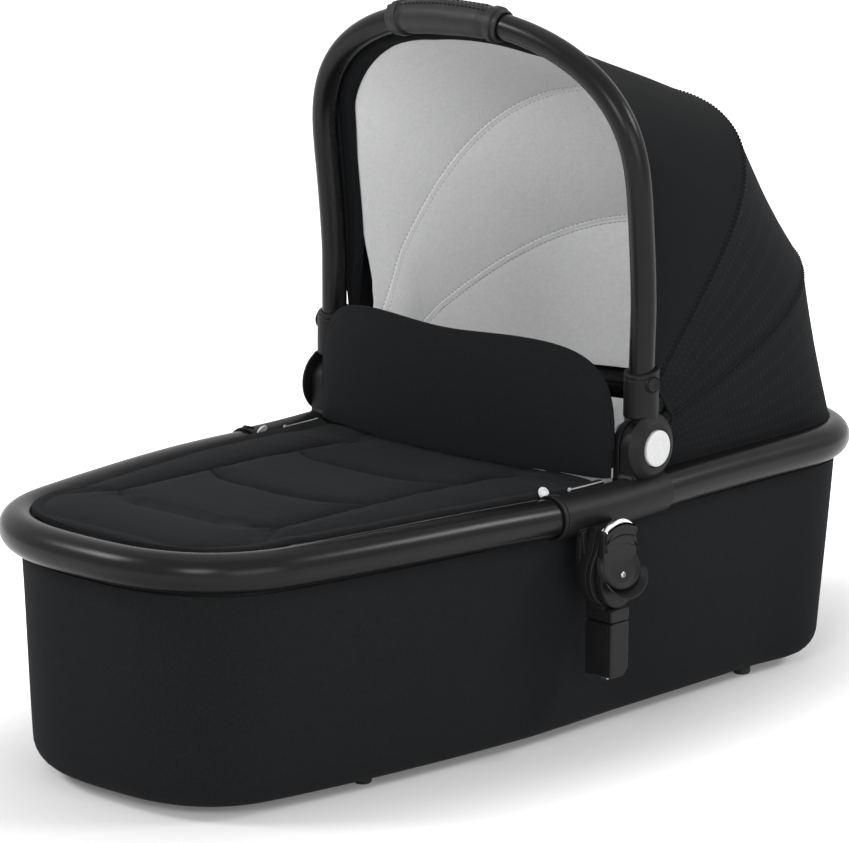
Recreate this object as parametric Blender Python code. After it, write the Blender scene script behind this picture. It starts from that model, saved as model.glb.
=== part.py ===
"""Carrycot for a pushchair chassis, with a folding canopy and carrying handle.

Metres, +Z up, +X towards the head end, the right side at -Y. The origin is on the floor,
under the middle of the rim. Every length is a named value below, and all other sizes and
places are worked out from these.
"""
import math

import bmesh
import bpy
from mathutils import Matrix, Vector

# Running and seating clearances
GAP = 0.0003
RUNNING_GAP = 0.0005
CUT_OVERRUN = 0.004

# Rim tube: it narrows from the taper start to the foot end
RIM_LENGTH = 0.860
RIM_TUBE_RADIUS = 0.017
RIM_TUBE_WALL = 0.0018
RIM_HALF_WIDTH = 0.1855
RIM_HEIGHT = 0.2159
RIM_TAPER_START = 0.100
RIM_TAPER = 0.0612
FOOT_CORNER_LENGTH = 0.1055
FOOT_CORNER_POWER = 2.64
HEAD_CORNER_LENGTH = 0.122
HEAD_CORNER_POWER = 2.94

# Sleeve that joins the two rim tubes and carries the hinge
SLEEVE_START = -0.024
SLEEVE_END = 0.113
SLEEVE_WALL = 0.0015
SLEEVE_SOCKET_DEPTH = 0.014
SLEEVE_BEAD_WIDTH = 0.004
SLEEVE_BEAD_RISE = 0.0010

# Tub walls, from the outside in
FOOT_HEIGHT = 0.008
FOOT_RADIUS = 0.008
FOOT_TREAD_RADIUS = 0.0065
FOOT_INSET = 0.050
FRONT_FEET_FROM_END = 0.214
REAR_FEET_FROM_END = 0.125
COVER_TOP_INSET = 0.002
COVER_BASE_INSET = 0.013
COVER_EDGE_RADIUS = 0.028
COVER_THICKNESS = 0.0018
SHELL_THICKNESS = 0.0030
SHELL_LIP_INSET = 0.0192
SHELL_LIP_THICKNESS = 0.0018
SHELL_LIP_RISE = 0.004
PADDING_INNER_INSET = 0.0220
BOARD_THICKNESS = 0.005
BOARD_INSET = 0.046
LINING_THICKNESS = 0.0020
LINING_TOP_DROP = 0.002
MATTRESS_THICKNESS = 0.026
MATTRESS_CROWN = 0.004
MATTRESS_SIDE_RADIUS = 0.006
MATTRESS_CLEARANCE = 0.003

# Quilted apron over the foot half
APRON_END = 0.045
APRON_EDGE_INSET = 0.0150
APRON_EDGE_THICKNESS = 0.004
APRON_THICKNESS = 0.0075
APRON_CROWN = 0.0015
APRON_SEAM_DEPTH = 0.0045
APRON_WALL_HEIGHT = 0.011
APRON_WALL_START = -0.160
APRON_WALL_FULL = -0.060
APRON_END_DROP = 0.0045
APRON_DROP_START = -0.020
APRON_DROP_FULL = 0.015
APRON_SEAM_HALF_WIDTH = 0.007
APRON_FIRST_SEAM = -0.285
APRON_SEAM_PITCH = 0.112
APRON_CROSS_SEAMS = 3
APRON_SEAM_SHARE = 0.60

# Wind flap that stands on the apron
FLAP_SIDE_INSET = 0.0205
FLAP_RISE = 0.1241
FLAP_BASE_X = 0.0244
FLAP_BOW = 0.0300
FLAP_THICKNESS = 0.010
FLAP_EDGE_THICKNESS = 0.004
FLAP_CORNER_POWER = 4.2
FLAP_CLEARANCE = 0.0012

# Snap studs that hold the apron's edge
STUD_X = -0.036
STUD_RADIUS = 0.0055
STUD_HEIGHT = 0.0022
STUD_RISE = 0.0048

# Hinge between rim sleeve and handle
HINGE_X = 0.0788
HINGE_RISE = 0.0413
HINGE_FACE_INSET = 0.0020
HINGE_BASE_THICKNESS = 0.0163
HINGE_BASE_RADIUS = 0.028
PEDESTAL_HALF_WIDTH = 0.0195
CAP_RADIUS = 0.029
CAP_THICKNESS = 0.0170
CAP_EDGE_RADIUS = 0.003
HINGE_BUTTON_RADIUS = 0.0160
HINGE_BUTTON_PROUD = 0.0022
HINGE_BUTTON_DEPTH = 0.0045
HINGE_BUTTON_TRAVEL = 0.003
HINGE_BUTTON_CROWN = 0.0012
PIN_RADIUS = 0.004
PIN_HEAD_RADIUS = 0.007
PIN_HEAD_HEIGHT = 0.0026
PIN_END_DEPTH = 0.006
COLLAR_RADIUS = 0.0154
COLLAR_RISE = 0.0693
LEG_SOCKET_RISE = 0.034
COLLAR_BUTTON_DROP = 0.0095
COLLAR_BUTTON_RADIUS = 0.0066
COLLAR_BOSS_RADIUS = 0.0086
COLLAR_BOSS_PROUD = 0.0018
COLLAR_BUTTON_PROUD = 0.0012
COLLAR_BUTTON_DEPTH = 0.0026
COLLAR_BUTTON_TRAVEL = 0.0015

# Handle hoop and its grip
HANDLE_TUBE_RADIUS = 0.0113
HANDLE_TUBE_WALL = 0.0015
HANDLE_FOOT_INSET = 0.0018
HANDLE_SPREAD = 0.0012
HANDLE_SHOULDER_RISE = 0.2156
HANDLE_TOP_RISE = 0.3560
HANDLE_SIDE_POWER = 2.113
HANDLE_TOP_POWER = 2.637
HANDLE_LEAN = 0.0317
HANDLE_LEAN_POWER = 1.34
HANDLE_LEAN_START_SHARE = 0.1776
GRIP_RADIUS = 0.0152
GRIP_HALF_LENGTH = 0.064
GRIP_OFFSET = 0.018
GRIP_BAND_WIDTH = 0.007
GRIP_BAND_RISE = 0.0010

# Canopy: two wire ribs between the handle and the rim, with the cloth outside
CANOPY_FOCUS_BACK = 0.0277
CANOPY_FOCUS_DROP = 0.0164
CLOTH_THICKNESS = 0.0016
CLOTH_START = 0.085
CLOTH_FOOT_INSET = 0.0057
FRONT_CLOTH_DROP = 0.002
FRONT_HEM_WIDTH = 0.026
FRONT_HEM_DEPTH = 0.014
LINING_CLOTH_THICKNESS = 0.0015
LINING_FOOT_EXTRA = 0.0120
RIB_1_ANGLE = math.radians(39.5)
RIB_1_REACH = 0.3746
RIB_1_SHOULDER = 0.185
RIB_1_POWER = 2.46
RIB_1_SPREAD = 0.0016
RIB_2_ANGLE = math.radians(67.6)
RIB_2_REACH = 0.3805
RIB_2_SHOULDER = 0.141
RIB_2_POWER = 2.87
RIB_2_SPREAD = 0.0041
REAR_HEM_INSET = 0.010
REAR_HEM_START = 0.117
RIB_RADIUS = 0.0022
RIB_ROOT_RADIUS = 0.0012
RIB_ARM_INSET = 0.0060
RIB_EYE_RADIUS = 0.016
RIB_EYE_THICKNESS = 0.0028
RIB_ARM_START = 0.020
RIB_ARM_END = 0.080
RIB_CLOTH_START = 0.135

# Chassis adapter on each side
ADAPTER_X = 0.0056
ADAPTER_DROP = 0.0529
BRACKET_STAND_OUT = 0.0025
BRACKET_THICKNESS = 0.0150
BRACKET_HALF_WIDTH = 0.0305
BRACKET_TOP_OVERLAP = 0.008
DRUM_THICKNESS = 0.0117
DRUM_RADIUS = 0.0300
DRUM_BLOCK_HALF_WIDTH = 0.0220
DRUM_BLOCK_RISE = 0.0410
PLUG_HALF_WIDTH = 0.0120
PLUG_INNER_OFFSET = 0.0082
PLUG_DEPTH = 0.0288
PLUG_TOP_DROP = 0.0330
PLUG_JOINT_DROP = 0.0423
PLUG_BOTTOM_DROP = 0.0910
PLUG_CHAMFER = 0.006
SLIDE_THICKNESS = 0.0092
SLIDE_HALF_WIDTH = 0.0215
SLIDE_TOP_RISE = 0.0440
SLIDE_ARCH = 0.0055
SLIDE_TRAVEL = 0.006
LIP_RADIUS = 0.0240
LIP_WALL = 0.0026
LIP_PROUD = 0.0110
TRIM_THICKNESS = 0.0042
TRIM_DEPTH = 0.0075
ROD_HALF_WIDTH = 0.0030
ROD_INSET = 0.0033
ROD_THICKNESS = 0.0060
ROD_TOP_DROP = 0.0030
ROD_HEAD_HEIGHT = 0.009
ROD_TIP_DROP = 0.004
SCREW_RADIUS = 0.0030
SCREW_HEIGHT = 0.0012

# Counts and angles that set how round the surfaces are
CORNER_STEPS = 6
SIDE_STEPS = 5
TUBE_SIDES = 12
ROUND_SIDES = 28
SMALL_SIDES = 20
EDGE_STEPS = 3
LEG_STEPS = 5
ARCH_STEPS = 9
PANEL_STEPS = 2
LINING_STEPS = 3
SHARP_ANGLE = math.radians(35)

# Rim sizes that follow
FOOT_END = RIM_TUBE_RADIUS - RIM_LENGTH / 2
HEAD_END = -FOOT_END
SLEEVE_RADIUS = RIM_TUBE_RADIUS + GAP + SLEEVE_WALL
HINGE_FACE = RIM_HALF_WIDTH - HINGE_FACE_INSET
HINGE_BASE_INNER = HINGE_FACE - HINGE_BASE_THICKNESS
CAP_OUTER = HINGE_FACE + CAP_THICKNESS
HANDLE_FOOT_HALF_WIDTH = HINGE_FACE - HANDLE_FOOT_INSET
HANDLE_HALF_WIDTH = HANDLE_FOOT_HALF_WIDTH + HANDLE_SPREAD
CLOTH_FOOT_HALF_WIDTH = HANDLE_FOOT_HALF_WIDTH - CLOTH_FOOT_INSET
RIB_1_HALF_WIDTH = CLOTH_FOOT_HALF_WIDTH + RIB_1_SPREAD
RIB_2_HALF_WIDTH = CLOTH_FOOT_HALF_WIDTH + RIB_2_SPREAD
RIB_ARM_HALF_WIDTH = HINGE_BASE_INNER - RIB_ARM_INSET
FLAP_HALF_WIDTH = RIM_HALF_WIDTH - FLAP_SIDE_INSET
HINGE_HEIGHT = RIM_HEIGHT + HINGE_RISE
HANDLE_SHOULDER = HINGE_HEIGHT + HANDLE_SHOULDER_RISE
HANDLE_TOP = HINGE_HEIGHT + HANDLE_TOP_RISE
ADAPTER_HEIGHT = RIM_HEIGHT - ADAPTER_DROP
DRUM_BLOCK_TOP = ADAPTER_HEIGHT + DRUM_BLOCK_RISE
PLUG_TOP = ADAPTER_HEIGHT - PLUG_TOP_DROP
PLUG_JOINT = ADAPTER_HEIGHT - PLUG_JOINT_DROP
PLUG_BOTTOM = ADAPTER_HEIGHT - PLUG_BOTTOM_DROP
SLIDE_TOP = ADAPTER_HEIGHT + SLIDE_TOP_RISE
ROD_TOP = ADAPTER_HEIGHT - ROD_TOP_DROP
COVER_TOP = RIM_HEIGHT - SLEEVE_RADIUS - SLEEVE_BEAD_RISE - GAP
SHELL_FLOOR = FOOT_HEIGHT + COVER_THICKNESS + GAP
BOARD_FLOOR = SHELL_FLOOR + SHELL_THICKNESS + GAP
LINING_FLOOR = BOARD_FLOOR + BOARD_THICKNESS + GAP
MATTRESS_FLOOR = LINING_FLOOR + LINING_THICKNESS + GAP
COLLAR_TOP = HINGE_HEIGHT + COLLAR_RISE
LEG_FOOT = HINGE_HEIGHT + LEG_SOCKET_RISE + GAP
BRACKET_INNER = RIM_HALF_WIDTH + BRACKET_STAND_OUT
BRACKET_OUTER = BRACKET_INNER + BRACKET_THICKNESS
DRUM_INNER = BRACKET_OUTER + GAP
DRUM_OUTER = DRUM_INNER + DRUM_THICKNESS
PLUG_INNER = DRUM_INNER - PLUG_INNER_OFFSET
PLUG_OUTER = PLUG_INNER + PLUG_DEPTH
ROD_INNER = DRUM_INNER + ROD_INSET
SLIDE_INNER = DRUM_OUTER + GAP
SLIDE_OUTER = SLIDE_INNER + SLIDE_THICKNESS
RIB_LAYER = CLOTH_THICKNESS + GAP + RIB_RADIUS
LINING_LAYER = RIB_LAYER + RIB_RADIUS + 5 * GAP

# Colours as the finished surfaces show them
FINISHES = {
    "satin_black": ((0.020, 0.020, 0.022), 0.38, 0.0),
    "moulded_black": ((0.018, 0.018, 0.020), 0.50, 0.0),
    "black_cloth": ((0.016, 0.018, 0.021), 0.90, 0.0),
    "canopy_cloth": ((0.018, 0.020, 0.023), 0.92, 0.0),
    "silver_cloth": ((0.58, 0.59, 0.60), 0.75, 0.0),
    "grip_leather": ((0.016, 0.016, 0.017), 0.45, 0.0),
    "silver_paint": ((0.80, 0.81, 0.82), 0.30, 0.6),
    "chrome": ((0.85, 0.86, 0.88), 0.12, 1.0),
    "steel": ((0.55, 0.56, 0.58), 0.35, 1.0),
    "board": ((0.30, 0.22, 0.15), 0.80, 0.0),
    "foam": ((0.62, 0.62, 0.60), 0.95, 0.0),
    "rubber": ((0.012, 0.012, 0.013), 0.85, 0.0),
}


def clear_scene():
    for item in list(bpy.data.objects):
        bpy.data.objects.remove(item, do_unlink=True)


def finish(slot):
    """The material of a slot, made once."""
    material = bpy.data.materials.get(slot)
    if material:
        return material
    colour, roughness, metallic = FINISHES[slot]
    material = bpy.data.materials.new(slot)
    material.use_nodes = True
    shader = material.node_tree.nodes["Principled BSDF"]
    shader.inputs["Base Color"].default_value = (*colour, 1)
    shader.inputs["Roughness"].default_value = roughness
    shader.inputs["Metallic"].default_value = metallic
    material.diffuse_color = (*colour, 1)
    return material


# Solids from rings and grids of points


def make_solid(name, points, faces, slot):
    """A closed mesh with its faces turned out."""
    mesh = bpy.data.meshes.new(name)
    mesh.from_pydata([tuple(point) for point in points], [], faces)
    work = bmesh.new()
    work.from_mesh(mesh)
    bmesh.ops.recalc_face_normals(work, faces=work.faces)
    work.to_mesh(mesh)
    work.free()
    mesh.materials.append(finish(slot))
    body = bpy.data.objects.new(name, mesh)
    bpy.context.scene.collection.objects.link(body)
    round_shading(body)
    return body


def round_shading(body):
    body.data.shade_smooth()
    body.data.set_sharp_from_angle(angle=SHARP_ANGLE)


def ring_solid(name, rings, slot, closed=False):
    """A solid through rings of equal count: capped at both ends, or joined end to end."""
    count = len(rings[0])
    points = [point for ring in rings for point in ring]
    faces = []
    spans = len(rings) if closed else len(rings) - 1
    for row in range(spans):
        low = row * count
        high = (row + 1) % len(rings) * count
        for step in range(count):
            after = (step + 1) % count
            faces.append((low + step, low + after, high + after, high + step))
    if not closed:
        faces.append(tuple(range(count))[::-1])
        faces.append(tuple(range(len(points) - count, len(points))))
    return make_solid(name, points, faces, slot)


def sheet_solid(name, front, back, slot):
    """A solid between two grids of points that lie one behind the other."""
    rows, columns = len(front), len(front[0])
    points = [point for row in front for point in row] + [point for row in back for point in row]
    behind = rows * columns
    faces = []
    for row in range(rows - 1):
        for column in range(columns - 1):
            corner = row * columns + column
            square = (corner, corner + 1, corner + columns + 1, corner + columns)
            faces.append(square)
            faces.append(tuple(index + behind for index in square[::-1]))
    border = [column for column in range(columns)]
    border += [row * columns + columns - 1 for row in range(1, rows)]
    border += [(rows - 1) * columns + column for column in range(columns - 2, -1, -1)]
    border += [row * columns for row in range(rows - 2, 0, -1)]
    for index, start in enumerate(border):
        end = border[(index + 1) % len(border)]
        faces.append((start, start + behind, end + behind, end))
    return make_solid(name, points, faces, slot)


def turned(name, centre, axis, profile, slot, sides=ROUND_SIDES, hollow=False):
    """A turned solid: profile holds (radius, distance along the axis) from end to end."""
    axis = Vector(axis).normalized()
    across = axis.orthogonal().normalized()
    other = axis.cross(across)
    rings = []
    for radius, along in profile:
        middle = Vector(centre) + axis * along
        ring = []
        for step in range(sides):
            turn = 2 * math.pi * (step + 0.5) / sides
            ring.append(middle + across * radius * math.cos(turn) + other * radius * math.sin(turn))
        rings.append(ring)
    return ring_solid(name, rings, slot, closed=hollow)


def prism(name, outline, start, end, slot):
    """A solid of an outline in X and Z, drawn out along Y from start to end."""
    rings = [[Vector((x, y, z)) for x, z in outline] for y in (start, end)]
    return ring_solid(name, rings, slot)


def rectangle(low_x, high_x, low_z, high_z):
    return [(low_x, low_z), (high_x, low_z), (high_x, high_z), (low_x, high_z)]


def combine(body, other, operation):
    """Joins or cuts body with other, which is used up."""
    change = body.modifiers.new(operation.lower(), "BOOLEAN")
    change.operation = operation
    change.object = other
    scene_now = bpy.context.evaluated_depsgraph_get()
    mesh = bpy.data.meshes.new_from_object(body.evaluated_get(scene_now))
    body.modifiers.clear()
    old = body.data
    mesh.name = old.name + "_shape"
    body.data = mesh
    bpy.data.meshes.remove(old)
    bpy.data.objects.remove(other, do_unlink=True)
    round_shading(body)
    return body


def union(body, other):
    return combine(body, other, "UNION")


def cut(body, other):
    return combine(body, other, "DIFFERENCE")


def direction_along(path, index):
    before = path[max(index - 1, 0)]
    after = path[min(index + 1, len(path) - 1)]
    return (after - before).normalized()


def sweep_rings(path, radii, sides, across):
    """Round rings square to a path, turned to a fixed direction across it."""
    rings = []
    for index, (point, radius) in enumerate(zip(path, radii)):
        along = direction_along(path, index)
        first = (across - along * across.dot(along)).normalized()
        second = along.cross(first)
        ring = []
        for step in range(sides):
            turn = 2 * math.pi * (step + 0.5) / sides
            ring.append(point + first * radius * math.cos(turn) + second * radius * math.sin(turn))
        rings.append(ring)
    return rings


def hollow_tube(name, path, radius, wall, across, slot, sides=TUBE_SIDES):
    outer = sweep_rings(path, [radius] * len(path), sides, across)
    inner = sweep_rings(path, [radius - wall] * len(path), sides, across)
    return ring_solid(name, outer + inner[::-1], slot, closed=True)


def pivot_group(name, place):
    """An empty on a joint's axis, which carries the pieces that move with it."""
    empty = bpy.data.objects.new(name, None)
    empty.location = place
    bpy.context.scene.collection.objects.link(empty)
    return empty


def hang_on(body, group):
    """Moves a piece's origin to the group's place and parents it there."""
    body.data.transform(Matrix.Translation(-group.location))
    body.parent = group
    return body


# Plan of the rim


def corner_width_share(length_share, power):
    """Width share of a rounded corner at a share of its length from the tip."""
    return (1 - (1 - max(length_share, 0)) ** power) ** (1 / power)


def half_width(x):
    """Half width of the rim tube's centreline at x."""
    width = RIM_HALF_WIDTH
    if x < RIM_TAPER_START:
        width -= RIM_TAPER * ((RIM_TAPER_START - x) / (RIM_TAPER_START - FOOT_END)) ** 2
    foot_share = (x - FOOT_END) / FOOT_CORNER_LENGTH
    head_share = (HEAD_END - x) / HEAD_CORNER_LENGTH
    if foot_share < 1:
        width *= corner_width_share(foot_share, FOOT_CORNER_POWER)
    if head_share < 1:
        width *= corner_width_share(head_share, HEAD_CORNER_POWER)
    return width


def corner_shares(power, steps=CORNER_STEPS):
    """Shares of a corner's length at even turns, from the tip, without its straight end."""
    return [1 - math.cos(math.pi / 2 * step / steps) ** (2 / power) for step in range(steps)]


def spaced(start, end, steps):
    """Evenly spaced values from start to end, both included."""
    return [start + (end - start) * step / steps for step in range(steps + 1)]


def plan_stations():
    """X of the plan's points, from the foot tip to the head tip."""
    foot = [FOOT_END + FOOT_CORNER_LENGTH * share for share in corner_shares(FOOT_CORNER_POWER)]
    head = [HEAD_END - HEAD_CORNER_LENGTH * share for share in corner_shares(HEAD_CORNER_POWER)]
    side = spaced(FOOT_END + FOOT_CORNER_LENGTH, HEAD_END - HEAD_CORNER_LENGTH, SIDE_STEPS)
    return foot + side + head[::-1]


def plan_outline():
    """The rim's centreline, once round: right side to the head, left side back."""
    stations = plan_stations()
    right = [Vector((x, -half_width(x), 0)) for x in stations]
    left = [Vector((x, half_width(x), 0)) for x in stations[1:-1]]
    return right + left[::-1]


def plan_ring(inset, height):
    """The plan moved inwards by inset, at a height."""
    outline = plan_outline()
    ring = []
    for index, point in enumerate(outline):
        before = outline[index - 1]
        after = outline[(index + 1) % len(outline)]
        along = (after - before).normalized()
        outward = Vector((along.y, -along.x, 0))
        moved = point - outward * inset
        ring.append(Vector((moved.x, moved.y, height)))
    return ring


def plan_solid(name, profile, slot):
    """A solid whose rings are (inset, height) copies of the plan, capped at both ends."""
    return ring_solid(name, [plan_ring(inset, height) for inset, height in profile], slot)


def plan_normal(x):
    """Outward direction of the right side's plan at x."""
    step = RIM_TUBE_RADIUS / 10
    slope = (half_width(x + step) - half_width(x - step)) / (2 * step)
    return Vector((-slope, -1, 0)).normalized()


# Rim, sleeves and hinge bases


def rim_run(end_x, towards_foot):
    """The rim's centreline from one sleeve to the other, round the foot or the head end."""
    stations = plan_stations()
    if towards_foot:
        stations = [x for x in stations if x < end_x - RIM_TUBE_RADIUS / 2][::-1]
    else:
        stations = [x for x in stations if x > end_x + RIM_TUBE_RADIUS / 2]
    stations = [end_x] + stations
    right = [Vector((x, -half_width(x), RIM_HEIGHT)) for x in stations]
    left = [Vector((point.x, -point.y, point.z)) for point in right[:-1]]
    return right + left[::-1]


def make_rim():
    foot_end_x = SLEEVE_START + SLEEVE_SOCKET_DEPTH - GAP
    head_end_x = SLEEVE_END - SLEEVE_SOCKET_DEPTH + GAP
    up = Vector((0, 0, 1))
    for name, end_x, towards_foot in (
        ("rim_foot_tube", foot_end_x, True),
        ("rim_head_tube", head_end_x, False),
    ):
        path = rim_run(end_x, towards_foot)
        hollow_tube(name, path, RIM_TUBE_RADIUS, RIM_TUBE_WALL, up, "satin_black")


def sleeve_point(x, side):
    return Vector((x, side * half_width(x), RIM_HEIGHT))


def make_hinge_housing(side, label):
    """Sleeve over the rim tubes' ends, with the hinge's fixed disc on its pedestal."""
    bore = RIM_TUBE_RADIUS + GAP
    bead = SLEEVE_RADIUS + SLEEVE_BEAD_RISE
    bead_end = SLEEVE_START + SLEEVE_BEAD_WIDTH
    profile = [
        (SLEEVE_START + SLEEVE_SOCKET_DEPTH, bore),
        (SLEEVE_START, bore),
        (SLEEVE_START, bead),
        (bead_end, bead),
        (bead_end, SLEEVE_RADIUS),
    ]
    profile += [(x, SLEEVE_RADIUS) for x in spaced(bead_end, SLEEVE_END, LEG_STEPS)[1:]]
    profile += [(SLEEVE_END, bore), (SLEEVE_END - SLEEVE_SOCKET_DEPTH, bore)]
    rings = []
    for x, radius in profile:
        outward = plan_normal(x)
        first = Vector((0, 0, 1))
        ring = []
        for step in range(SMALL_SIDES):
            turn = 2 * math.pi * (step + 0.5) / SMALL_SIDES
            across = Vector((outward.x, -side * outward.y, 0))
            ring.append(
                sleeve_point(x, side) + first * radius * math.cos(turn) + across * radius * math.sin(turn)
            )
        rings.append(ring)
    housing = ring_solid("hinge_housing_" + label, rings, "moulded_black")
    axis = (0, side, 0)
    centre = (HINGE_X, 0, HINGE_HEIGHT)
    disc_profile = [(HINGE_BASE_RADIUS, HINGE_BASE_INNER), (HINGE_BASE_RADIUS, HINGE_FACE + CUT_OVERRUN)]
    union(housing, turned("disc", centre, axis, disc_profile, "moulded_black"))
    foot = [
        (HINGE_X - PEDESTAL_HALF_WIDTH, RIM_HEIGHT),
        (HINGE_X + PEDESTAL_HALF_WIDTH, RIM_HEIGHT),
        (HINGE_X + PEDESTAL_HALF_WIDTH / 2, HINGE_HEIGHT),
        (HINGE_X - PEDESTAL_HALF_WIDTH / 2, HINGE_HEIGHT),
    ]
    inner = side * (HINGE_BASE_INNER + GAP)
    union(housing, prism("pedestal", foot, inner, side * (HINGE_FACE + CUT_OVERRUN / 2), "moulded_black"))
    recess = [
        (CAP_RADIUS + RUNNING_GAP, HINGE_FACE),
        (CAP_RADIUS + RUNNING_GAP, CAP_OUTER + CAP_RADIUS),
    ]
    cut(housing, turned("recess", centre, axis, recess, "moulded_black"))
    pin_bore = [
        (PIN_RADIUS + GAP, HINGE_BASE_INNER - CUT_OVERRUN),
        (PIN_RADIUS + GAP, HINGE_FACE + CUT_OVERRUN),
    ]
    cut(housing, turned("pin_bore", centre, axis, pin_bore, "moulded_black", SMALL_SIDES))
    return housing


# Layers of the hinge, from the pin's head outwards


def rib_eye_span(number):
    """Inner and outer half width of a rib's eye; rib 1 lies next to the fixed disc."""
    outer = HINGE_BASE_INNER - GAP - (number - 1) * (RIB_EYE_THICKNESS + GAP)
    return outer - RIB_EYE_THICKNESS, outer


def make_hinge_pin(side, label):
    head_top = rib_eye_span(2)[0] - GAP
    end = HINGE_FACE + GAP + PIN_END_DEPTH
    profile = [
        (PIN_HEAD_RADIUS, head_top - PIN_HEAD_HEIGHT),
        (PIN_HEAD_RADIUS, head_top),
        (PIN_RADIUS, head_top),
        (PIN_RADIUS, end),
    ]
    turned("hinge_pin_" + label, (HINGE_X, 0, HINGE_HEIGHT), (0, side, 0), profile, "steel", SMALL_SIDES)


def make_hinge_cap(side, label):
    """Outer disc of the hinge with the collar that holds the handle's leg."""
    axis = (0, side, 0)
    centre = (HINGE_X, 0, HINGE_HEIGHT)
    inner = HINGE_FACE + GAP
    edge = [
        (
            CAP_RADIUS - CAP_EDGE_RADIUS * (1 - math.cos(math.pi / 2 * step / EDGE_STEPS)),
            CAP_OUTER - CAP_EDGE_RADIUS * (1 - math.sin(math.pi / 2 * step / EDGE_STEPS)),
        )
        for step in range(EDGE_STEPS + 1)
    ]
    cap = turned("hinge_cap_" + label, centre, axis, [(CAP_RADIUS, inner)] + edge, "moulded_black")
    leg = side * HANDLE_FOOT_HALF_WIDTH
    collar_foot = HINGE_BUTTON_RADIUS + CAP_EDGE_RADIUS
    collar = turned(
        "collar",
        (HINGE_X, leg, HINGE_HEIGHT),
        (0, 0, 1),
        [(COLLAR_RADIUS, collar_foot), (COLLAR_RADIUS, COLLAR_RISE)],
        "moulded_black",
    )
    clear = [(CAP_RADIUS + RUNNING_GAP, 0), (CAP_RADIUS + RUNNING_GAP, inner)]
    cut(collar, turned("clear", centre, axis, clear, "moulded_black"))
    union(cap, collar)
    button_height = COLLAR_TOP - COLLAR_BUTTON_DROP
    boss_face = HANDLE_FOOT_HALF_WIDTH + COLLAR_RADIUS + COLLAR_BOSS_PROUD
    boss_centre = (HINGE_X, 0, button_height)
    boss_root = HANDLE_FOOT_HALF_WIDTH + HANDLE_TUBE_RADIUS
    boss = [(COLLAR_BOSS_RADIUS, boss_root), (COLLAR_BOSS_RADIUS, boss_face)]
    union(cap, turned("boss", boss_centre, axis, boss, "moulded_black", SMALL_SIDES))
    socket = [
        (HANDLE_TUBE_RADIUS + GAP, LEG_SOCKET_RISE),
        (HANDLE_TUBE_RADIUS + GAP, COLLAR_RISE + CUT_OVERRUN),
    ]
    cut(cap, turned("socket", (HINGE_X, leg, HINGE_HEIGHT), (0, 0, 1), socket, "moulded_black", SMALL_SIDES))
    pocket_floor = CAP_OUTER + HINGE_BUTTON_PROUD - HINGE_BUTTON_DEPTH - HINGE_BUTTON_TRAVEL - RUNNING_GAP
    pocket = [
        (HINGE_BUTTON_RADIUS + RUNNING_GAP, pocket_floor),
        (HINGE_BUTTON_RADIUS + RUNNING_GAP, CAP_OUTER + CUT_OVERRUN),
    ]
    cut(cap, turned("pocket", centre, axis, pocket, "moulded_black"))
    bore = [(PIN_RADIUS + GAP, HINGE_FACE - CUT_OVERRUN), (PIN_RADIUS + GAP, inner + PIN_END_DEPTH + GAP)]
    cut(cap, turned("bore", centre, axis, bore, "moulded_black", SMALL_SIDES))
    small_floor = boss_face + COLLAR_BUTTON_PROUD - COLLAR_BUTTON_DEPTH - COLLAR_BUTTON_TRAVEL - GAP
    small_pocket = [
        (COLLAR_BUTTON_RADIUS + GAP, small_floor),
        (COLLAR_BUTTON_RADIUS + GAP, boss_face + CUT_OVERRUN),
    ]
    cut(cap, turned("small_pocket", boss_centre, axis, small_pocket, "moulded_black", SMALL_SIDES))
    return cap


def make_hinge_button(side, label):
    face = CAP_OUTER + HINGE_BUTTON_PROUD
    profile = [
        (HINGE_BUTTON_RADIUS, face - HINGE_BUTTON_DEPTH),
        (HINGE_BUTTON_RADIUS, face - HINGE_BUTTON_CROWN),
        (HINGE_BUTTON_RADIUS - HINGE_BUTTON_CROWN, face - HINGE_BUTTON_CROWN / 3),
        (HINGE_BUTTON_RADIUS / 2, face),
    ]
    name = "hinge_button_" + label
    return turned(name, (HINGE_X, 0, HINGE_HEIGHT), (0, side, 0), profile, "silver_paint")


def make_collar_button(side, label):
    face = HANDLE_FOOT_HALF_WIDTH + COLLAR_RADIUS + COLLAR_BOSS_PROUD + COLLAR_BUTTON_PROUD
    profile = [
        (COLLAR_BUTTON_RADIUS, face - COLLAR_BUTTON_DEPTH),
        (COLLAR_BUTTON_RADIUS, face - COLLAR_BUTTON_PROUD / 2),
        (COLLAR_BUTTON_RADIUS - COLLAR_BUTTON_PROUD / 2, face),
    ]
    centre = (HINGE_X, 0, COLLAR_TOP - COLLAR_BUTTON_DROP)
    return turned("collar_button_" + label, centre, (0, side, 0), profile, "moulded_black", SMALL_SIDES)


# Handle


def handle_lean(height):
    """How far the hoop leans towards the foot at a height."""
    share = (height - COLLAR_TOP) / (HANDLE_TOP - COLLAR_TOP)
    bent_share = max(share - HANDLE_LEAN_START_SHARE, 0) / (1 - HANDLE_LEAN_START_SHARE)
    return HANDLE_LEAN * bent_share ** HANDLE_LEAN_POWER


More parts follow.
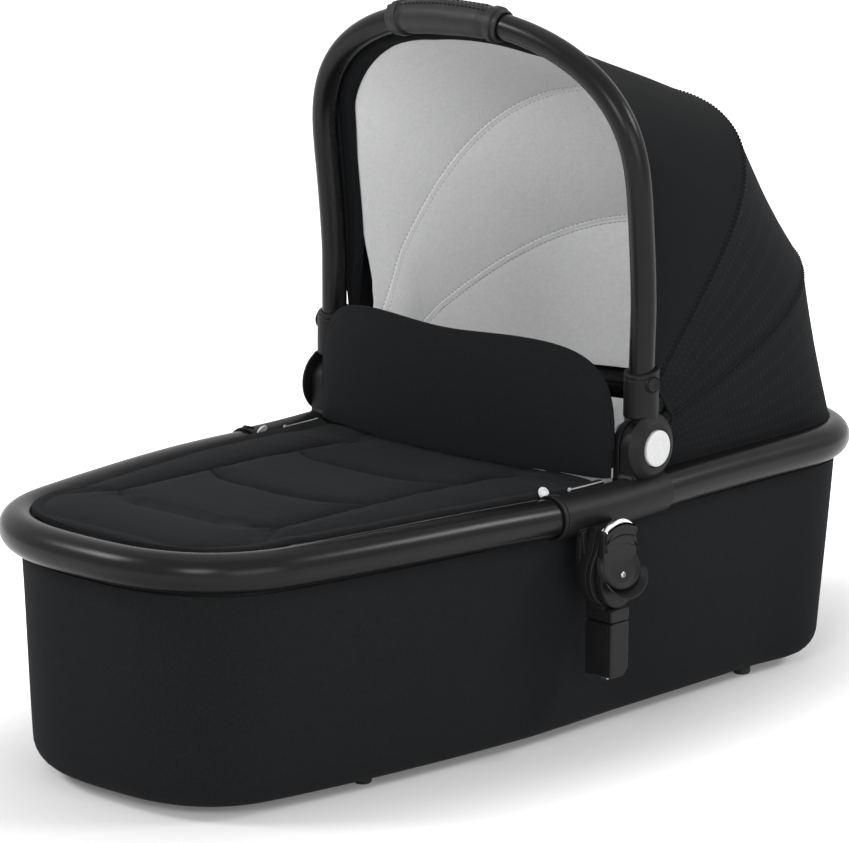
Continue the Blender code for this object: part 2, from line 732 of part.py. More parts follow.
def hoop_half(foot_height, top_drop=0):
    """Right half of the hoop's centreline, leg first, as points with y below zero."""
    points = []
    for height in spaced(foot_height, HANDLE_SHOULDER, LEG_STEPS)[:-1]:
        share = max(height - COLLAR_TOP, 0) / (HANDLE_SHOULDER - COLLAR_TOP)
        wide = HANDLE_FOOT_HALF_WIDTH + (HANDLE_HALF_WIDTH - HANDLE_FOOT_HALF_WIDTH) * share
        points.append(Vector((HINGE_X - handle_lean(height), -wide, height)))
    rise = HANDLE_TOP - HANDLE_SHOULDER - top_drop
    for step in range(ARCH_STEPS + 1):
        turn = math.pi / 2 * step / ARCH_STEPS
        height = HANDLE_SHOULDER + rise * math.sin(turn) ** (2 / HANDLE_TOP_POWER)
        wide = HANDLE_HALF_WIDTH * max(math.cos(turn), 0) ** (2 / HANDLE_SIDE_POWER)
        points.append(Vector((HINGE_X - handle_lean(height), -wide, height)))
    points[-1].y = 0
    return points


def both_sides(half):
    """A right half followed by its mirror image, with the middle point once."""
    left = [Vector((point.x, -point.y, point.z)) for point in half[:-1]]
    return half + left[::-1]


def make_handle():
    path = both_sides(hoop_half(LEG_FOOT))
    tube = hollow_tube(
        "handle_tube", path, HANDLE_TUBE_RADIUS, HANDLE_TUBE_WALL, Vector((1, 0, 0)), "satin_black"
    )
    return tube


def hoop_point(y):
    """Point of the hoop's top at a place across it."""
    half_share = min(abs(y) / HANDLE_HALF_WIDTH, 1)
    turn = math.acos(half_share ** (HANDLE_SIDE_POWER / 2))
    height = HANDLE_SHOULDER + (HANDLE_TOP - HANDLE_SHOULDER) * math.sin(turn) ** (2 / HANDLE_TOP_POWER)
    return Vector((HINGE_X - handle_lean(height), y, height))


def make_grip():
    """Padded sleeve over the top of the hoop, with a raised band near each end."""
    low = GRIP_OFFSET - GRIP_HALF_LENGTH
    high = GRIP_OFFSET + GRIP_HALF_LENGTH
    band = GRIP_RADIUS + GRIP_BAND_RISE
    places = [(low, GRIP_RADIUS - GRIP_BAND_RISE), (low + GRIP_BAND_WIDTH, band)]
    places += [(low + 2 * GRIP_BAND_WIDTH, band), (low + 2 * GRIP_BAND_WIDTH + GRIP_BAND_RISE, GRIP_RADIUS)]
    middle = spaced(low + 3 * GRIP_BAND_WIDTH, high - 3 * GRIP_BAND_WIDTH, LEG_STEPS)
    places += [(y, GRIP_RADIUS) for y in middle]
    places += [(high - 2 * GRIP_BAND_WIDTH - GRIP_BAND_RISE, GRIP_RADIUS), (high - 2 * GRIP_BAND_WIDTH, band)]
    places += [(high - GRIP_BAND_WIDTH, band), (high, GRIP_RADIUS - GRIP_BAND_RISE)]
    path = [hoop_point(y) for y, radius in places]
    across = Vector((1, 0, 0))
    outer = sweep_rings(path, [radius for y, radius in places], TUBE_SIDES, across)
    bore = HANDLE_TUBE_RADIUS / math.cos(math.pi / TUBE_SIDES) + GAP
    inner = sweep_rings(path, [bore] * len(path), TUBE_SIDES, across)
    return ring_solid("handle_grip", outer + inner[::-1], "grip_leather", closed=True)


# Canopy sections: each gives points and inward directions from the right foot over to the left


def canopy_focus():
    """Where the lines of the two ribs meet, seen from the side."""
    return Vector((HINGE_X - CANOPY_FOCUS_BACK, 0, HINGE_HEIGHT - CANOPY_FOCUS_DROP))


def inward_in_plane(points, across):
    """Inward direction at each point of a hoop whose plane is square to across."""
    directions = []
    for index in range(len(points)):
        along = direction_along(points, index)
        directions.append(along.cross(across).normalized())
    return directions


def rib_section(angle, reach, shoulder, power, wide):
    """Outline of the cloth over a rib, with its inward directions."""
    focus = canopy_focus()
    outward = Vector((math.sin(angle), 0, math.cos(angle)))
    half = []
    for rise in spaced(CLOTH_START, shoulder, LEG_STEPS)[:-1]:
        share = (rise - CLOTH_START) / (shoulder - CLOTH_START)
        across = CLOTH_FOOT_HALF_WIDTH + (wide - CLOTH_FOOT_HALF_WIDTH) * share
        half.append(focus + outward * rise + Vector((0, -across, 0)))
    for step in range(ARCH_STEPS + 1):
        turn = math.pi / 2 * step / ARCH_STEPS
        rise = shoulder + (reach - shoulder) * math.sin(turn) ** (2 / power)
        across = wide * max(math.cos(turn), 0) ** (2 / power)
        half.append(focus + outward * rise + Vector((0, -across, 0)))
    half[-1].y = 0
    points = both_sides(half)
    square = Vector((math.cos(angle), 0, -math.sin(angle)))
    return points, inward_in_plane(points, square)


def rib_1_section():
    return rib_section(RIB_1_ANGLE, RIB_1_REACH, RIB_1_SHOULDER, RIB_1_POWER, RIB_1_HALF_WIDTH)


def rib_2_section():
    return rib_section(RIB_2_ANGLE, RIB_2_REACH, RIB_2_SHOULDER, RIB_2_POWER, RIB_2_HALF_WIDTH)


def front_section():
    """Outline of the cloth's front edge, close behind the handle."""
    foot = HINGE_HEIGHT + CAP_RADIUS + CLOTH_THICKNESS + RUNNING_GAP + COLLAR_RADIUS
    half = []
    for point in hoop_half(foot, FRONT_CLOTH_DROP):
        narrow = min(abs(point.y), CLOTH_FOOT_HALF_WIDTH + FRONT_CLOTH_DROP)
        behind = HANDLE_TUBE_RADIUS + RUNNING_GAP
        if point.z < COLLAR_TOP + COLLAR_RADIUS:
            behind = COLLAR_RADIUS + RUNNING_GAP
        if abs(point.y) < GRIP_OFFSET + GRIP_HALF_LENGTH + GRIP_RADIUS:
            behind = GRIP_RADIUS + GRIP_BAND_RISE + RUNNING_GAP
        half.append(Vector((point.x + behind, -narrow, point.z)))
    half[-1].y = 0
    points = both_sides(half)
    return points, inward_in_plane(points, Vector((1, 0, 0)))


def rear_section():
    """The cloth's hem along the rim tube, round the head end."""
    height = RIM_HEIGHT + math.sqrt(RIM_TUBE_RADIUS ** 2 - REAR_HEM_INSET ** 2) + GAP
    straight = spaced(REAR_HEM_START, HEAD_END - HEAD_CORNER_LENGTH, LEG_STEPS)[:-1]
    shares = corner_shares(HEAD_CORNER_POWER, ARCH_STEPS)
    corner = [HEAD_END - HEAD_CORNER_LENGTH * share for share in shares[::-1]]
    half = []
    for x in straight + [HEAD_END - HEAD_CORNER_LENGTH] + corner:
        point = Vector((x, -half_width(x), 0))
        if x < HEAD_END:
            point -= plan_normal(min(x, HEAD_END - RIM_TUBE_RADIUS / 9)) * REAR_HEM_INSET
        else:
            point = Vector((HEAD_END - REAR_HEM_INSET, 0, 0))
        half.append(Vector((point.x, point.y, height)))
    points = both_sides(half)
    inward = []
    for index in range(len(points)):
        along = direction_along(points, index)
        inward.append(Vector((-along.y, along.x, 0)).normalized())
    return points, inward


def between(first, second, share):
    """A section part way between two others."""
    points = [a.lerp(b, share) for a, b in zip(first[0], second[0])]
    inward = [a.lerp(b, share).normalized() for a, b in zip(first[1], second[1])]
    return points, inward


def layer(section, depth):
    """A section's points moved inwards."""
    points, inward = section
    return [point + way * depth for point, way in zip(points, inward)]


def cloth_solid(name, sections, start_depth, thickness, slot):
    """Cloth through several sections, from one depth under the outer face to a deeper one."""
    front = [layer(section, start_depth) for section in sections]
    back = [layer(section, start_depth + thickness) for section in sections]
    return sheet_solid(name, front, back, slot)


def trimmed(first, second, rows, start_share, end_share):
    return [between(first, second, share) for share in spaced(start_share, end_share, rows)]


def section_gap(first, second):
    """Narrowest distance between two sections at their lowest points."""
    return (first[0][0] - second[0][0]).length


def make_canopy():
    front = front_section()
    rib_1 = rib_1_section()
    rib_2 = rib_2_section()
    rear = rear_section()
    panels = []
    for name, first, second in (
        ("canopy_front_panel", front, rib_1),
        ("canopy_middle_panel", rib_1, rib_2),
        ("canopy_rear_panel", rib_2, rear),
    ):
        seam_share = GAP / section_gap(first, second)
        sections = trimmed(first, second, PANEL_STEPS, seam_share, 1 - seam_share)
        if second is rear:
            sections = trimmed(first, second, PANEL_STEPS, seam_share, 1)
        panels.append(cloth_solid(name, sections, 0, CLOTH_THICKNESS, "canopy_cloth"))
    top_gap = (front[0][len(front[0]) // 2] - rib_1[0][len(rib_1[0]) // 2]).length
    hem_share = FRONT_HEM_WIDTH / top_gap
    hem_end = between(front, rib_1, hem_share)
    hem_start = CLOTH_THICKNESS + 3 * GAP
    hem = cloth_solid("canopy_front_hem", [front, hem_end], hem_start, FRONT_HEM_DEPTH - hem_start, "black_cloth")
    lining_start = between(hem_end, rib_1, 3 * GAP / section_gap(hem_end, rib_1))
    outer = lining_rows([lining_start, rib_1, rib_2, rear], LINING_LAYER)
    inner = lining_rows([lining_start, rib_1, rib_2, rear], LINING_LAYER + LINING_CLOTH_THICKNESS)
    return panels, hem, sheet_solid("canopy_lining", outer, inner, "silver_cloth")


def lining_rows(sections, depth):
    """Rows of the lining, which passes inside the ribs' arms near the hinge."""
    keys = []
    for section in sections:
        key = [point + way * (depth + LINING_FOOT_EXTRA * arm_share(point)) for point, way in zip(*section)]
        keys.append(key)
    rows = [keys[0]]
    for first, second in zip(keys, keys[1:]):
        for share in spaced(0, 1, LINING_STEPS)[1:]:
            rows.append([a.lerp(b, share) for a, b in zip(first, second)])
    return rows


def arm_share(point):
    """1 beside the ribs' straight arms near the hinge, falling to 0 where the ribs meet the cloth."""
    reach = (Vector((point.x, 0, point.z)) - Vector((HINGE_X, 0, HINGE_HEIGHT))).length
    share = (RIB_CLOTH_START - reach) / (RIB_CLOTH_START - RIB_ARM_END)
    return min(max(share, 0), 1)


def rib_wire(section, angle, number):
    """Path and radii of a rib's wire, from one eye over the top to the other."""
    points, inward = section
    outward = Vector((math.sin(angle), 0, math.cos(angle)))
    hinge = Vector((HINGE_X, 0, HINGE_HEIGHT))
    nearest = canopy_focus() + outward * (hinge - canopy_focus()).dot(outward)
    eye_inner, eye_outer = rib_eye_span(number)
    eye_middle = (eye_inner + eye_outer) / 2
    flat_end = math.sqrt(RIB_EYE_RADIUS ** 2 - (nearest - hinge).length_squared) + GAP
    places = [(0, eye_middle), (flat_end, eye_middle)]
    places += [(rise, RIB_ARM_HALF_WIDTH) for rise in spaced(RIB_ARM_START, RIB_ARM_END, 2)]
    half = [nearest + outward * rise + Vector((0, -across, 0)) for rise, across in places]
    radii = [RIB_ROOT_RADIUS, RIB_ROOT_RADIUS] + [RIB_RADIUS] * 3
    middle = len(points) // 2
    for point, way in zip(points[: middle + 1], inward[: middle + 1]):
        if (Vector((point.x, 0, point.z)) - nearest).dot(outward) > RIB_ARM_END + RIB_RADIUS:
            beside_arm = Vector((point.x, -RIB_ARM_HALF_WIDTH, point.z))
            half.append((point + way * RIB_LAYER).lerp(beside_arm, arm_share(point)))
            radii.append(RIB_RADIUS)
    half[-1].y = 0
    return both_sides(half), radii + radii[:-1][::-1]


def make_rib(number, section, angle):
    """A wire rib with an eye at each end."""
    path, radii = rib_wire(section, angle, number)
    across = Vector((math.cos(angle), 0, -math.sin(angle)))
    name = "canopy_rib_" + str(number)
    rib = ring_solid(name, sweep_rings(path, radii, 8, across), "steel")
    inner, outer = rib_eye_span(number)
    centre = (HINGE_X, 0, HINGE_HEIGHT)
    for side in (-1, 1):
        eye = [(RIB_EYE_RADIUS, inner), (RIB_EYE_RADIUS, outer)]
        union(rib, turned("eye", centre, (0, side, 0), eye, "steel", SMALL_SIDES))
        bore = [(PIN_RADIUS + GAP, inner - GAP), (PIN_RADIUS + GAP, outer + GAP)]
        cut(rib, turned("bore", centre, (0, side, 0), bore, "steel", SMALL_SIDES))
    return rib


# Tub, from the outside in


def make_feet():
    for place, x in (("front", FOOT_END + FRONT_FEET_FROM_END), ("rear", HEAD_END - REAR_FEET_FROM_END)):
        for side, label in ((-1, "right"), (1, "left")):
            y = side * (half_width(x) - FOOT_INSET)
            profile = [
                (FOOT_TREAD_RADIUS, 0),
                (FOOT_RADIUS, FOOT_RADIUS - FOOT_TREAD_RADIUS),
                (FOOT_RADIUS, FOOT_HEIGHT - GAP),
            ]
            turned("foot_" + place + "_" + label, (x, y, 0), (0, 0, 1), profile, "rubber", SMALL_SIDES)


def wall_profile(offset, top, floor):
    """Rings of the tub's wall moved inwards by offset: floor middle first, wall top last."""
    radius = COVER_EDGE_RADIUS - offset
    bottom_inset = COVER_BASE_INSET + offset
    rings = [(bottom_inset + radius, floor)]
    for step in range(1, EDGE_STEPS + 1):
        turn = math.pi / 2 * step / EDGE_STEPS
        rings.append((bottom_inset + radius * (1 - math.sin(turn)), floor + radius * (1 - math.cos(turn))))
    rings.append((COVER_TOP_INSET + offset, top))
    return rings


def make_cover():
    outer = wall_profile(0, COVER_TOP, FOOT_HEIGHT)
    inner = wall_profile(COVER_THICKNESS, COVER_TOP, FOOT_HEIGHT + COVER_THICKNESS)
    return plan_solid("tub_cover", outer + inner[::-1], "black_cloth")


def make_shell():
    """Rigid tub whose lip runs in under the rim tube and up beside it."""
    start = COVER_THICKNESS + GAP
    ledge = COVER_TOP - SHELL_THICKNESS
    outer = wall_profile(start, COVER_TOP, SHELL_FLOOR)
    inner = wall_profile(start + SHELL_THICKNESS, ledge, SHELL_FLOOR + SHELL_THICKNESS)
    lip_top = RIM_HEIGHT + SHELL_LIP_RISE
    lip_outer = max(SHELL_LIP_INSET, SLEEVE_RADIUS + SLEEVE_BEAD_RISE - GAP)
    lip = [
        (lip_outer, COVER_TOP),
        (lip_outer, lip_top),
        (lip_outer + SHELL_LIP_THICKNESS, lip_top),
        (lip_outer + SHELL_LIP_THICKNESS, ledge),
    ]
    return plan_solid("tub_shell", outer + lip + inner[::-1], "moulded_black")


def make_padding():
    """Foam between the shell's wall and the lining."""
    start = COVER_THICKNESS + 2 * GAP + SHELL_THICKNESS
    top = COVER_TOP - SHELL_THICKNESS - GAP
    wall = wall_profile(start, top, SHELL_FLOOR + SHELL_THICKNESS + GAP)
    lowest = LINING_FLOOR + LINING_THICKNESS
    rings = [ring for ring in wall if ring[1] > lowest]
    inner_edge = PADDING_INNER_INSET - GAP
    loop = [(inner_edge, top), (inner_edge + (COVER_BASE_INSET - COVER_TOP_INSET), rings[0][1])]
    solid = [plan_ring(inset, height) for inset, height in rings + loop]
    return ring_solid("tub_padding", solid, "foam", closed=True)


def make_board():
    inset = BOARD_INSET
    bottom = BOARD_FLOOR
    profile = [(inset, bottom), (inset, bottom + BOARD_THICKNESS)]
    return plan_solid("base_board", profile, "board")


def make_tub_lining():
    top = RIM_HEIGHT + SHELL_LIP_RISE - LINING_TOP_DROP
    taper = COVER_BASE_INSET - COVER_TOP_INSET
    lip_outer = max(SHELL_LIP_INSET, SLEEVE_RADIUS + SLEEVE_BEAD_RISE - GAP)
    outer_top = max(lip_outer + SHELL_LIP_THICKNESS, PADDING_INNER_INSET) + GAP
    outer_base = PADDING_INNER_INSET + taper + GAP
    floor = LINING_FLOOR
    round_off = LINING_THICKNESS * 2
    outer = [
        (outer_base + round_off, floor),
        (outer_base, floor + round_off),
        (outer_top, COVER_TOP),
        (outer_top, top),
    ]
    inner = [
        (outer_top + LINING_THICKNESS, top),
        (outer_top + LINING_THICKNESS, COVER_TOP),
        (outer_base + LINING_THICKNESS, floor + round_off + LINING_THICKNESS),
        (outer_base + LINING_THICKNESS + round_off, floor + LINING_THICKNESS),
    ]
    return plan_solid("tub_lining", outer + inner, "silver_cloth")


def make_mattress():
    """Mattress with soft sides and a low crown."""
    taper = COVER_BASE_INSET - COVER_TOP_INSET
    edge = PADDING_INNER_INSET + taper + 2 * GAP + LINING_THICKNESS * 3 + MATTRESS_CLEARANCE
    radius = MATTRESS_SIDE_RADIUS
    low = MATTRESS_FLOOR
    high = MATTRESS_FLOOR + MATTRESS_THICKNESS
    profile = [
        (edge + radius, low),
        (edge, low + radius),
        (edge + radius / 4, (low + high) / 2),
        (edge, high - radius),
        (edge + radius, high),
        (edge + 4 * radius, high + MATTRESS_CROWN),
    ]
    return plan_solid("mattress", profile, "silver_cloth")


# Apron and wind flap


def seam_stations(start, end, seams, steps):
    """Places from start to end, with three close together at each seam."""
    inner_seams = [seam for seam in seams if start < seam < end]
    groove = [seam + shift * APRON_SEAM_HALF_WIDTH for seam in inner_seams for shift in (-1, 0, 1)]
    plain = [
        place
        for place in spaced(start, end, steps)
        if all(abs(place - seam) > 2 * APRON_SEAM_HALF_WIDTH for seam in inner_seams)
    ]
    return sorted(plain + groove)


def cross_seams():
    return [APRON_FIRST_SEAM + APRON_SEAM_PITCH * number for number in range(APRON_CROSS_SEAMS)]


def apron_foot():
    """X of the apron's edge at the foot end."""
    return FOOT_END + APRON_EDGE_INSET


def apron_half_width(x):
    """Half width of the apron, which stays a fixed inset inside the rim tube."""
    foot_share = min(max((x - apron_foot()) / FOOT_CORNER_LENGTH, 0), 1)
    wide = half_width(FOOT_END + FOOT_CORNER_LENGTH * foot_share) if foot_share < 1 else half_width(x)
    return max(wide - APRON_EDGE_INSET, 0)


def apron_edge_height():
    """Underside of the apron's edge, where it rests on the sleeve's shoulder."""
    reach = SLEEVE_RADIUS + SLEEVE_BEAD_RISE + GAP
    return RIM_HEIGHT + math.sqrt(reach ** 2 - APRON_EDGE_INSET ** 2)


def ramp_share(x, start, full):
    """0 before start, 1 beyond full, and straight between them."""
    return min(max((x - start) / (full - start), 0), 1)


def apron_edge_rise(x):
    """Height of the apron's side, which stands up towards the flap."""
    share = ramp_share(x, APRON_WALL_START, APRON_WALL_FULL)
    return APRON_EDGE_THICKNESS + (APRON_WALL_HEIGHT - APRON_EDGE_THICKNESS) * share


def groove_share(distance):
    """1 on a seam, falling to 0 at half its width."""
    share = max(0, 1 - abs(distance) / APRON_SEAM_HALF_WIDTH)
    return share * share * (3 - 2 * share)


def apron_swell(x, across_share):
    """Crowned top of the apron's filling before the channels are sewn, with its swell share."""
    wide = apron_half_width(x)
    edge_share = min((1 - abs(across_share)) * wide, x - apron_foot()) / APRON_EDGE_INSET
    swell_share = 1 - math.exp(-max(edge_share, 0))
    crown_share = 1 - across_share ** 2
    edge = apron_edge_rise(x)
    filling = APRON_THICKNESS + APRON_CROWN * crown_share
    filling -= APRON_END_DROP * ramp_share(x, APRON_DROP_START, APRON_DROP_FULL)
    return apron_edge_height() + edge + (filling - edge) * swell_share, swell_share


def apron_top(x, across_share):
    """Top face of the apron, drawn in along the sewn channels."""
    wide = apron_half_width(x)
    height, swell_share = apron_swell(x, across_share)
    grooves = [groove_share((abs(across_share) - APRON_SEAM_SHARE) * wide)]
    if abs(across_share) < APRON_SEAM_SHARE:
        grooves += [groove_share(x - seam) for seam in cross_seams()]
    return height - APRON_SEAM_DEPTH * max(grooves) * swell_share


def across_shares():
    """Shares of the apron's half width at its columns, from right to left."""
    half = [0, 1 / 4, 1 / 2, APRON_SEAM_SHARE, 3 / 4, 9 / 10, 1]
    groove = APRON_SEAM_HALF_WIDTH / apron_half_width(FOOT_END + FOOT_CORNER_LENGTH)
    half[2] = APRON_SEAM_SHARE - groove
    half[4] = APRON_SEAM_SHARE + groove
    return [-share for share in half[:0:-1]] + half


def make_apron():
    """Quilted cover over the foot half, resting on the rim's inner shoulder."""
    corner_steps = CORNER_STEPS - 1
    shares = corner_shares(FOOT_CORNER_POWER, corner_steps)[1:]
    foot = [apron_foot() + FOOT_CORNER_LENGTH * share for share in shares]
    side = seam_stations(foot[-1], APRON_END, cross_seams(), 2 * SIDE_STEPS)
    stations = foot[:-1] + side
    columns = across_shares()
    top, bottom = [], []
    for x in stations:
        wide = apron_half_width(x)
        top_row, bottom_row = [], []
        for share in columns:
            height = apron_top(x, share)
            depth = APRON_EDGE_THICKNESS + (APRON_THICKNESS - APRON_EDGE_THICKNESS) * (1 - share ** 4)
            lowest = apron_edge_height() if abs(share) == 1 else height - depth
            top_row.append(Vector((x, share * wide, height)))
            bottom_row.append(Vector((x, share * wide, min(lowest, height - APRON_EDGE_THICKNESS / 2))))
        top.append(top_row)
        bottom.append(bottom_row)
    return sheet_solid("apron", top, bottom, "black_cloth")


def flap_base(y):
    """X of the flap's middle layer: it bows towards the foot."""
    return FLAP_BASE_X + FLAP_BOW * (y / FLAP_HALF_WIDTH) ** 2


def flap_foot(y):
    """Lower edge of the flap, just clear of the apron's top face."""
    x = min(flap_base(y), APRON_END)
    share = min(abs(y) / apron_half_width(x), 1)
    return apron_swell(x, share)[0] + FLAP_CLEARANCE


def make_flap():
    """Padded wind flap with round upper corners, thin at its sewn edge."""
    columns = 14
    rows = 6
    front, back = [], []
    for column in range(columns + 1):
        across_share = math.sin(math.pi / 2 * (2 * column / columns - 1))
        y = FLAP_HALF_WIDTH * across_share
        x = flap_base(y)
        foot = flap_foot(y)
        top_share = (1 - min(abs(across_share), 0.999) ** FLAP_CORNER_POWER) ** (1 / FLAP_CORNER_POWER)
        low = flap_foot(0)
        top = max(low + (RIM_HEIGHT + FLAP_RISE - low) * top_share, foot + FLAP_EDGE_THICKNESS)
        front_row, back_row = [], []
        for row in range(rows + 1):
            rise_share = row / rows
            puff_share = (1 - across_share ** 4) * (1 - rise_share ** 4)
            depth = FLAP_EDGE_THICKNESS + (FLAP_THICKNESS - FLAP_EDGE_THICKNESS) * puff_share
            height = foot + (top - foot) * rise_share
            front_row.append(Vector((x - depth / 2, y, height)))
            back_row.append(Vector((x + depth / 2, y, height)))
        front.append(front_row)
        back.append(back_row)
    return sheet_solid("wind_flap", front, back, "black_cloth")


def flap_axis():
    """Place of the line on which the flap folds: its lower front edge in the middle."""
    return Vector((flap_base(0) - FLAP_THICKNESS / 2, 0, flap_foot(0)))


def make_studs():
    """Press studs on the apron's sides, facing out."""
    for side, label in ((-1, "right"), (1, "left")):
        outward = plan_normal(STUD_X)
        way = Vector((outward.x, -side * outward.y, 0))
        place = Vector((STUD_X, side * apron_half_width(STUD_X), apron_edge_height() + STUD_RISE))
        place += way * GAP
        profile = [
            (STUD_RADIUS, 0),
            (STUD_RADIUS, STUD_HEIGHT / 2),
            (STUD_RADIUS * 2 / 3, STUD_HEIGHT),
        ]
        turned("snap_stud_" + label, place, way, profile, "silver_paint", SMALL_SIDES)


# Chassis adapter


def arc_points(centre_x, centre_z, radius, start, end, steps):
    """Points of an arc, with angles in degrees counted from +X towards +Z."""
    points = []
    for angle in spaced(math.radians(start), math.radians(end), steps):
        points.append((centre_x + radius * math.cos(angle), centre_z + radius * math.sin(angle)))
    return points


def arched_top(half, top, arch, steps):
    """Points of a shallow arch from right to left."""
    points = []
    for share in spaced(1, -1, steps):
        points.append((ADAPTER_X + half * share, top - arch * share ** 2))
    return points


def rod_channel(side, low, high):
    """Cutter for the channel that the latch rod runs in."""
    half = ROD_HALF_WIDTH + RUNNING_GAP
    start = side * (ROD_INNER - RUNNING_GAP)
    end = side * (ROD_INNER + ROD_THICKNESS + 2 * RUNNING_GAP)
    outline = rectangle(ADAPTER_X - half, ADAPTER_X + half, low, high)
    return prism("channel", outline, start, end, "moulded_black")


def head_window(side):
    """Cutter for the window through which the rod's head meets the slide."""
    half = ROD_HALF_WIDTH + RUNNING_GAP
    low = ROD_TOP - ROD_HEAD_HEIGHT - RUNNING_GAP
    outline = rectangle(ADAPTER_X - half, ADAPTER_X + half, low, ROD_TOP + SLIDE_TRAVEL + RUNNING_GAP)
    return prism("window", outline, side * (ROD_INNER + GAP), side * (DRUM_OUTER + CUT_OVERRUN), "moulded_black")


def make_bracket(side, label):
    """Plate that hangs from the sleeve and carries the adapter."""
    top = RIM_HEIGHT - SLEEVE_RADIUS + BRACKET_TOP_OVERLAP
    outline = arc_points(ADAPTER_X, ADAPTER_HEIGHT, BRACKET_HALF_WIDTH, 180, 360, 10)
    outline += [(ADAPTER_X + BRACKET_HALF_WIDTH, top), (ADAPTER_X - BRACKET_HALF_WIDTH, top)]
    name = "adapter_bracket_" + label
    bracket = prism(name, outline, side * BRACKET_INNER, side * BRACKET_OUTER, "moulded_black")
    reach = SLEEVE_RADIUS + GAP
    start = ADAPTER_X - BRACKET_HALF_WIDTH - CUT_OVERRUN
    end = ADAPTER_X + BRACKET_HALF_WIDTH + CUT_OVERRUN
    path = [sleeve_point(x, side) for x in spaced(start, end, 3)]
    rings = sweep_rings(path, [reach] * len(path), ROUND_SIDES, Vector((0, 0, 1)))
    cut(bracket, ring_solid("sleeve_room", rings, "moulded_black"))
    bead = turned(
        "bead_room",
        sleeve_point(SLEEVE_START, side),
        (1, 0, 0),
        [(reach + SLEEVE_BEAD_RISE, -CUT_OVERRUN), (reach + SLEEVE_BEAD_RISE, SLEEVE_BEAD_WIDTH + GAP)],
        "moulded_black",
    )
    return cut(bracket, bead)


def make_adapter_body(side, label):
    """Drum and block with the upper part of the plug, and the latch rod's channel."""
    drum_outline = arc_points(ADAPTER_X, ADAPTER_HEIGHT, DRUM_RADIUS, 140, 400, 20)
    drum_outline += [
        (ADAPTER_X + DRUM_BLOCK_HALF_WIDTH, DRUM_BLOCK_TOP),
        (ADAPTER_X - DRUM_BLOCK_HALF_WIDTH, DRUM_BLOCK_TOP),
    ]
    name = "adapter_body_" + label
    body = prism(name, drum_outline, side * DRUM_INNER, side * DRUM_OUTER, "moulded_black")
    root = rectangle(ADAPTER_X - PLUG_HALF_WIDTH, ADAPTER_X + PLUG_HALF_WIDTH, PLUG_JOINT, PLUG_TOP)
    union(body, prism("root", root, side * PLUG_INNER, side * PLUG_OUTER, "moulded_black"))
    neck_top = ADAPTER_HEIGHT - DRUM_RADIUS / 2
    neck = rectangle(ADAPTER_X - PLUG_HALF_WIDTH, ADAPTER_X + PLUG_HALF_WIDTH, PLUG_TOP - GAP, neck_top)
    neck_inner = side * (DRUM_INNER + GAP)
    neck_outer = side * (DRUM_OUTER - GAP)
    union(body, prism("neck", neck, neck_inner, neck_outer, "moulded_black"))
    top = ROD_TOP + SLIDE_TRAVEL + RUNNING_GAP
    cut(body, rod_channel(side, PLUG_JOINT - CUT_OVERRUN, top))
    return cut(body, head_window(side))


def make_plug_tip(side, label):
    """Lower part of the plug, chamfered at its lower corner, with the rod's channel."""
    left = ADAPTER_X - PLUG_HALF_WIDTH
    right = ADAPTER_X + PLUG_HALF_WIDTH
    outline = [
        (left, PLUG_BOTTOM),
        (right - PLUG_CHAMFER, PLUG_BOTTOM),
        (right, PLUG_BOTTOM + PLUG_CHAMFER),
        (right, PLUG_JOINT - GAP),
        (left, PLUG_JOINT - GAP),
    ]
    name = "plug_tip_" + label
    tip = prism(name, outline, side * PLUG_INNER, side * PLUG_OUTER, "moulded_black")
    return cut(tip, rod_channel(side, PLUG_BOTTOM - CUT_OVERRUN, PLUG_JOINT + CUT_OVERRUN))


def make_release_slide(side, label):
    """Slide with a round lower end and a curved lip for the fingers."""
    centre_height = ADAPTER_HEIGHT
    outline = arc_points(ADAPTER_X, centre_height, SLIDE_HALF_WIDTH, 180, 360, 14)
    outline += arched_top(SLIDE_HALF_WIDTH, SLIDE_TOP, SLIDE_ARCH, 6)
    name = "release_slide_" + label
    slide = prism(name, outline, side * SLIDE_INNER, side * SLIDE_OUTER, "moulded_black")
    rows = []
    root = SLIDE_OUTER - SLIDE_THICKNESS / 2
    steps = 12
    for step, angle in enumerate(spaced(math.radians(205), math.radians(335), steps)):
        rise_share = math.sin(math.pi * (step + 1) / (steps + 2))
        tip = SLIDE_OUTER + LIP_PROUD * rise_share
        outer = LIP_RADIUS + (LIP_RADIUS - SLIDE_HALF_WIDTH) * rise_share
        ring = []
        for radius, y in (
            (LIP_RADIUS - LIP_WALL, root),
            (LIP_RADIUS, root),
            (outer, tip),
            (outer - LIP_WALL, tip),
        ):
            x = ADAPTER_X + radius * math.cos(angle)
            ring.append(Vector((x, side * y, centre_height + radius * math.sin(angle))))
        rows.append(ring)
    return union(slide, ring_solid("lip", rows, "moulded_black"))


def make_trim(side, label):
    """Bright curved strip on top of the release slide."""
    outline = arched_top(SLIDE_HALF_WIDTH, SLIDE_TOP + GAP, SLIDE_ARCH, 10)
    outline += arched_top(SLIDE_HALF_WIDTH, SLIDE_TOP + GAP + TRIM_THICKNESS, SLIDE_ARCH, 10)[::-1]
    end = SLIDE_OUTER + GAP
    return prism("release_trim_" + label, outline, side * (end - TRIM_DEPTH), side * end, "chrome")


